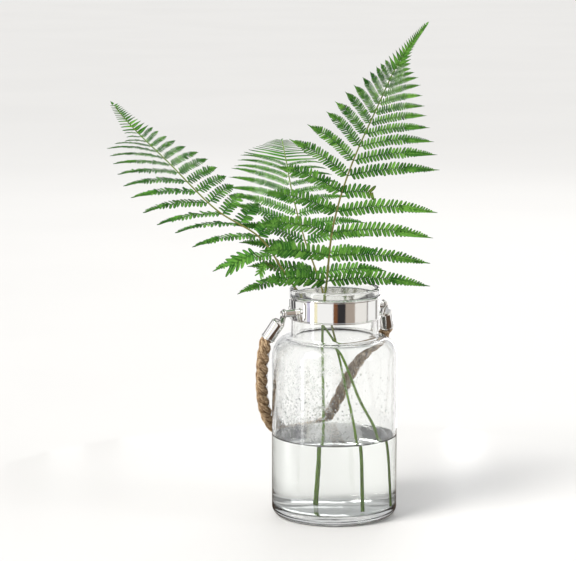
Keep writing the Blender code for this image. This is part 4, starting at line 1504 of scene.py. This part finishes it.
class VASE_OT_leaflets(bpy.types.Operator):
    """Adds the fronds' leaflets, each with its midrib and its rows of lobes"""

    bl_idname = "vase.leaflets"
    bl_label = "Leaflets"

    def execute(self, context):
        self.settings = context.scene.vase_fern
        self.leaf = leaf_material(self.settings)
        self.lobe = self.pattern("lobe_pattern", LOBE_COLUMNS)
        self.blade = self.pattern("blade_pattern", BLADE_COLUMNS)
        for number, frond in enumerate(FRONDS):
            self.rng = random.Random(100 + number)
            self.frond_tint = frond["tint"]
            stalk = Stalk(frond)
            tip = []
            remaining = 1.0 - frond["first_leaf"]
            for i in range(frond["pairs"]):
                made = self.pair(frond, stalk, remaining, i)
                name = frond["name"]
                self.finish_leaf(f"{name}_leaves_{i + 1:02d}", made, f"{name}_leaflets_{i + 1:02d}")
                remaining *= frond["leaf_step"]
            while remaining * stalk.length > LAST_LEAFLET:
                tip.extend(self.pair(frond, stalk, remaining))
                remaining -= max((1.0 - frond["leaf_step"]) * remaining, CLOSEST_LEAFLETS / stalk.length)
            start = stalk.point(1.0 - remaining)
            last = stalk.point(1.0) - start
            facing = last.cross(FACING.cross(last)).normalized()
            self.tint = self.frond_tint
            tip.extend(self.copy_of(self.blade, start, last, facing, last.length * 1.02, 0.0032))
            self.finish_leaf(f"{frond['name']}_leaf_tip", tip, f"{frond['name']}_tip")
        self.bare_leaflets()
        bpy.data.objects.remove(self.lobe)
        bpy.data.objects.remove(self.blade)
        return {"FINISHED"}

    def finish_leaf(self, name, made, node):
        finish_piece(joined(name, made), VASE, self.leaf, "fern_leaf", node)

    def pattern(self, name, columns):
        """A leaf blade of unit length and width: thin, closed, and folded a little along its vein."""
        deselect()
        bpy.ops.mesh.primitive_grid_add(x_subdivisions=6, y_subdivisions=2, size=1)
        lobe = named(name)
        lobe.data.uv_layers[0].name = "lobe"
        aside = 10  # the columns that are in place wait here, clear of those that aren't yet
        with Editing(lobe) as edit:
            for number, (place, width) in reversed(list(enumerate(columns))):
                at = number / 6 - 0.5
                edit.select(lambda v, at=at: abs(v.co.x - at) < 0.01)
                bpy.ops.transform.resize(value=(1, width, 1), center_override=(at, 0, 0))
                bpy.ops.transform.translate(value=(place + aside - at, 0, -0.10 * place**2))
            select_everything()
            bpy.ops.transform.translate(value=(-aside, 0, 0))
            edit.select(lambda v: abs(v.co.y) > 0.012)
            bpy.ops.transform.translate(value=(0, 0, 0.045))
            select_everything()
            bpy.ops.mesh.duplicate()
            bpy.ops.mesh.flip_normals()
            shape = bmesh.from_edit_mesh(lobe.data)
            for vertex in shape.verts:
                inside = 0.01 < vertex.co.x < 0.99 and abs(vertex.co.y) < 0.012
                vertex.select = vertex.select and inside
            shape.select_flush_mode()
            bmesh.update_edit_mesh(lobe.data)
            bpy.ops.transform.translate(value=(0, 0, -0.05))
            select_everything()
            bpy.ops.mesh.remove_doubles(threshold=0.0001)
        smooth(lobe, 60)
        set_floats(lobe, "under", [float(face.normal.z < 0) for face in lobe.data.polygons], "FACE")
        return lobe

    def copy_of(self, pattern, start, run, normal, length, width, dry=0.0):
        """A copy of the pattern, laid from start along run."""
        run = run.normalized()
        normal = Matrix.Rotation(self.rng.uniform(-0.30, 0.30), 3, run) @ normal
        across = normal.cross(run).normalized()
        up = run.cross(across) * min(length, width * 2.2)
        axes = Matrix((run * length, across * width, up)).transposed().to_4x4()
        copy = linked("lobe", pattern.data.copy())
        copy.data.transform(Matrix.Translation(start) @ axes)
        tint = min(1.0, max(-1.0, self.rng.gauss(self.tint, 0.30)))
        set_leaf(copy, tint, dry)
        return [copy]

    def pair(self, frond, stalk, remaining, number=None):
        """The leaflets on both sides of the midrib, this share of the stalk below its tip."""
        share = 1.0 - remaining
        along = stalk.direction(share)
        reaches = reach_at(frond, 1.0 - remaining / (1.0 - frond["first_leaf"]))
        outward = sum((across_of(along, reach, 0) for reach in reaches), Vector()).normalized()
        root = stalk.point(share) + outward * stalk.radius(share) * 0.6
        spacing = max((1.0 - frond["leaf_step"]) * remaining * stalk.length, CLOSEST_LEAFLETS)
        made = []
        sides = zip(reaches, frond["roll"], frond["fill"], frond["half_width"], frond["full"])
        for side, (reach, roll, fill, half_width, full) in enumerate(sides):
            widest = min(half_width, fill * spacing)
            broken = frond.get("broken") == (number, side)
            across = across_of(reach, along, roll)
            if widest < SIMPLE_LEAFLET:
                self.tint = self.frond_tint
                normal = towards_light(reach.normalized().cross(across))
                made.extend(self.copy_of(self.blade, root, reach, normal, reach.length, widest * 2.3))
            else:
                self.full = full
                kept = reach * (BROKEN_SHARE if broken else 1)
                made.extend(self.leaflet(root, kept, across, widest, broken))
        return made

    def leaflet(self, root, reach, side, widest, broken=False, blunt=False):
        """One leaflet: a tapered midrib, lobes down each side, and a pointed end unless it is blunt."""
        rng = self.rng
        self.tint = min(0.9, rng.gauss(self.frond_tint, 0.14))
        length = reach.length
        droop = rng.uniform(-0.03, 0.015) * length
        sway = rng.uniform(-0.02, 0.03) * length

        def spine(u):
            arch = 4 * 0.05 * length * u * (1 - u) + droop * u**3
            return root + reach * u + UP * arch + side * sway * u**2

        def axes_at(u):
            run = (spine(min(1.0, u + 0.02)) - spine(max(0.0, u - 0.02))).normalized()
            across = (side - run * side.dot(run)).normalized()
            return run, across, towards_light(run.cross(across))

        end = 0.99 if broken else 0.80
        points = [spine(end * i / 9) for i in range(10)]
        thick = min(0.00055, widest * 0.06)
        made = [tube("spine", points, (thick, thick * 0.35), 6)]
        set_leaf(made[0], tint=0.1, dry=0.2, under=0.0)

        lean = self.settings.lean
        u = 0.02 + 0.3 * widest / length
        last = 0.97 if broken else 0.93
        which_first = rng.choice((-1, 1))
        while u < last:
            half = widest * (1.0 if broken else leaflet_outline(u, self.full))
            if blunt:
                half = widest * math.sqrt(1.0 - (1.6 * abs(u - 0.45)) ** 2)
            step = max(0.0010, self.settings.spacing * widest * (0.42 + 0.58 * half / widest))
            run, across, normal = axes_at(u)
            age = min(0.50, max(0.0, (u - 0.6) / 0.6)) if broken else 0.0
            for which in (1, -1):
                start = spine(u + 0.25 * step * which * which_first / length)
                turn = lean + rng.uniform(-0.06, 0.06) - (0.9 if blunt else 0.22) * u
                out = around(run, across * which, turn)
                out = (out + normal * rng.uniform(-0.12, 0.14)).normalized()
                size = half / math.sin(turn) * rng.uniform(0.93, 1.05)
                made.extend(self.copy_of(self.lobe, start, out, normal, size, step * 0.98, age))
            u += step / length
        if not broken and not blunt:
            start = 0.15 + self.full
            normal = axes_at(start + 0.15)[2]
            width = widest * leaflet_outline(start, self.full) * 1.1
            self.tint = min(1.0, self.tint + 0.3)
            last = spine(1.0) - spine(start)
            rest = length * (1 - start)
            made.extend(self.copy_of(self.blade, spine(start), last, normal, rest, width))
        return made

    def bare_leaflets(self):
        """The left frond's lowest leaflets, which carry lobes only towards their ends."""
        self.rng = random.Random(5)
        for number, (root, bend, end, reach, widest) in enumerate(BARE_LEAFLETS, 1):
            root, bend, end, reach = Vector(root), Vector(bend), Vector(end), Vector(reach)
            rib = tube("bare_rib", smooth_path([root, bend, end], 14), (0.0006, 0.0004), 6)
            set_leaf(rib, tint=0.3, dry=0.5, under=0.0)
            side = reach.cross(Vector((0.2, -1, 0.4))).normalized()
            self.frond_tint = 0.15
            made = [rib, *self.leaflet(end - reach * 0.05, reach, side, widest, blunt=True)]
            name = f"left_frond_bare_leaf_{number:02d}"
            self.finish_leaf(name, made, f"left_frond_bare_leaflet_{number:02d}")


# ---------------------------------------------------------------- panel and main
OPERATORS = (
    VASE_OT_stage,
    VASE_OT_rope,
    VASE_OT_jar,
    VASE_OT_water,
    VASE_OT_droplets,
    VASE_OT_fittings,
    VASE_OT_ferrules,
    VASE_OT_stalks,
    VASE_OT_leaflets,
)


class VASE_PT_panel(bpy.types.Panel):
    """Lists the pieces of the vase and its fern, and their settings"""

    bl_label = "Fern Vase"
    bl_idname = "VASE_PT_panel"
    bl_space_type = "VIEW_3D"
    bl_region_type = "UI"
    bl_category = "Fern Vase"

    def draw(self, context):
        for operator in OPERATORS:
            self.layout.operator(operator.bl_idname)
        for name, settings in SETTINGS.items():
            box = self.layout.box()
            for key in settings.__annotations__:
                box.prop(getattr(context.scene, name), key)


def register():
    for settings in SETTINGS.values():
        bpy.utils.register_class(settings)
    for operator in OPERATORS:
        bpy.utils.register_class(operator)
    bpy.utils.register_class(VASE_PT_panel)
    for name, settings in SETTINGS.items():
        setattr(bpy.types.Scene, name, bpy.props.PointerProperty(type=settings))


def unregister():
    for name in SETTINGS:
        delattr(bpy.types.Scene, name)
    bpy.utils.unregister_class(VASE_PT_panel)
    for operator in reversed(OPERATORS):
        bpy.utils.unregister_class(operator)
    for settings in reversed(SETTINGS.values()):
        bpy.utils.unregister_class(settings)


def main():
    register()
    bpy.ops.vase.stage()
    bpy.ops.vase.rope()
    bpy.ops.vase.jar()
    bpy.ops.vase.water()
    bpy.ops.vase.droplets()
    bpy.ops.vase.fittings()
    bpy.ops.vase.ferrules()
    bpy.ops.vase.stalks()
    bpy.ops.vase.leaflets()


if __name__ == "__main__":
    main()
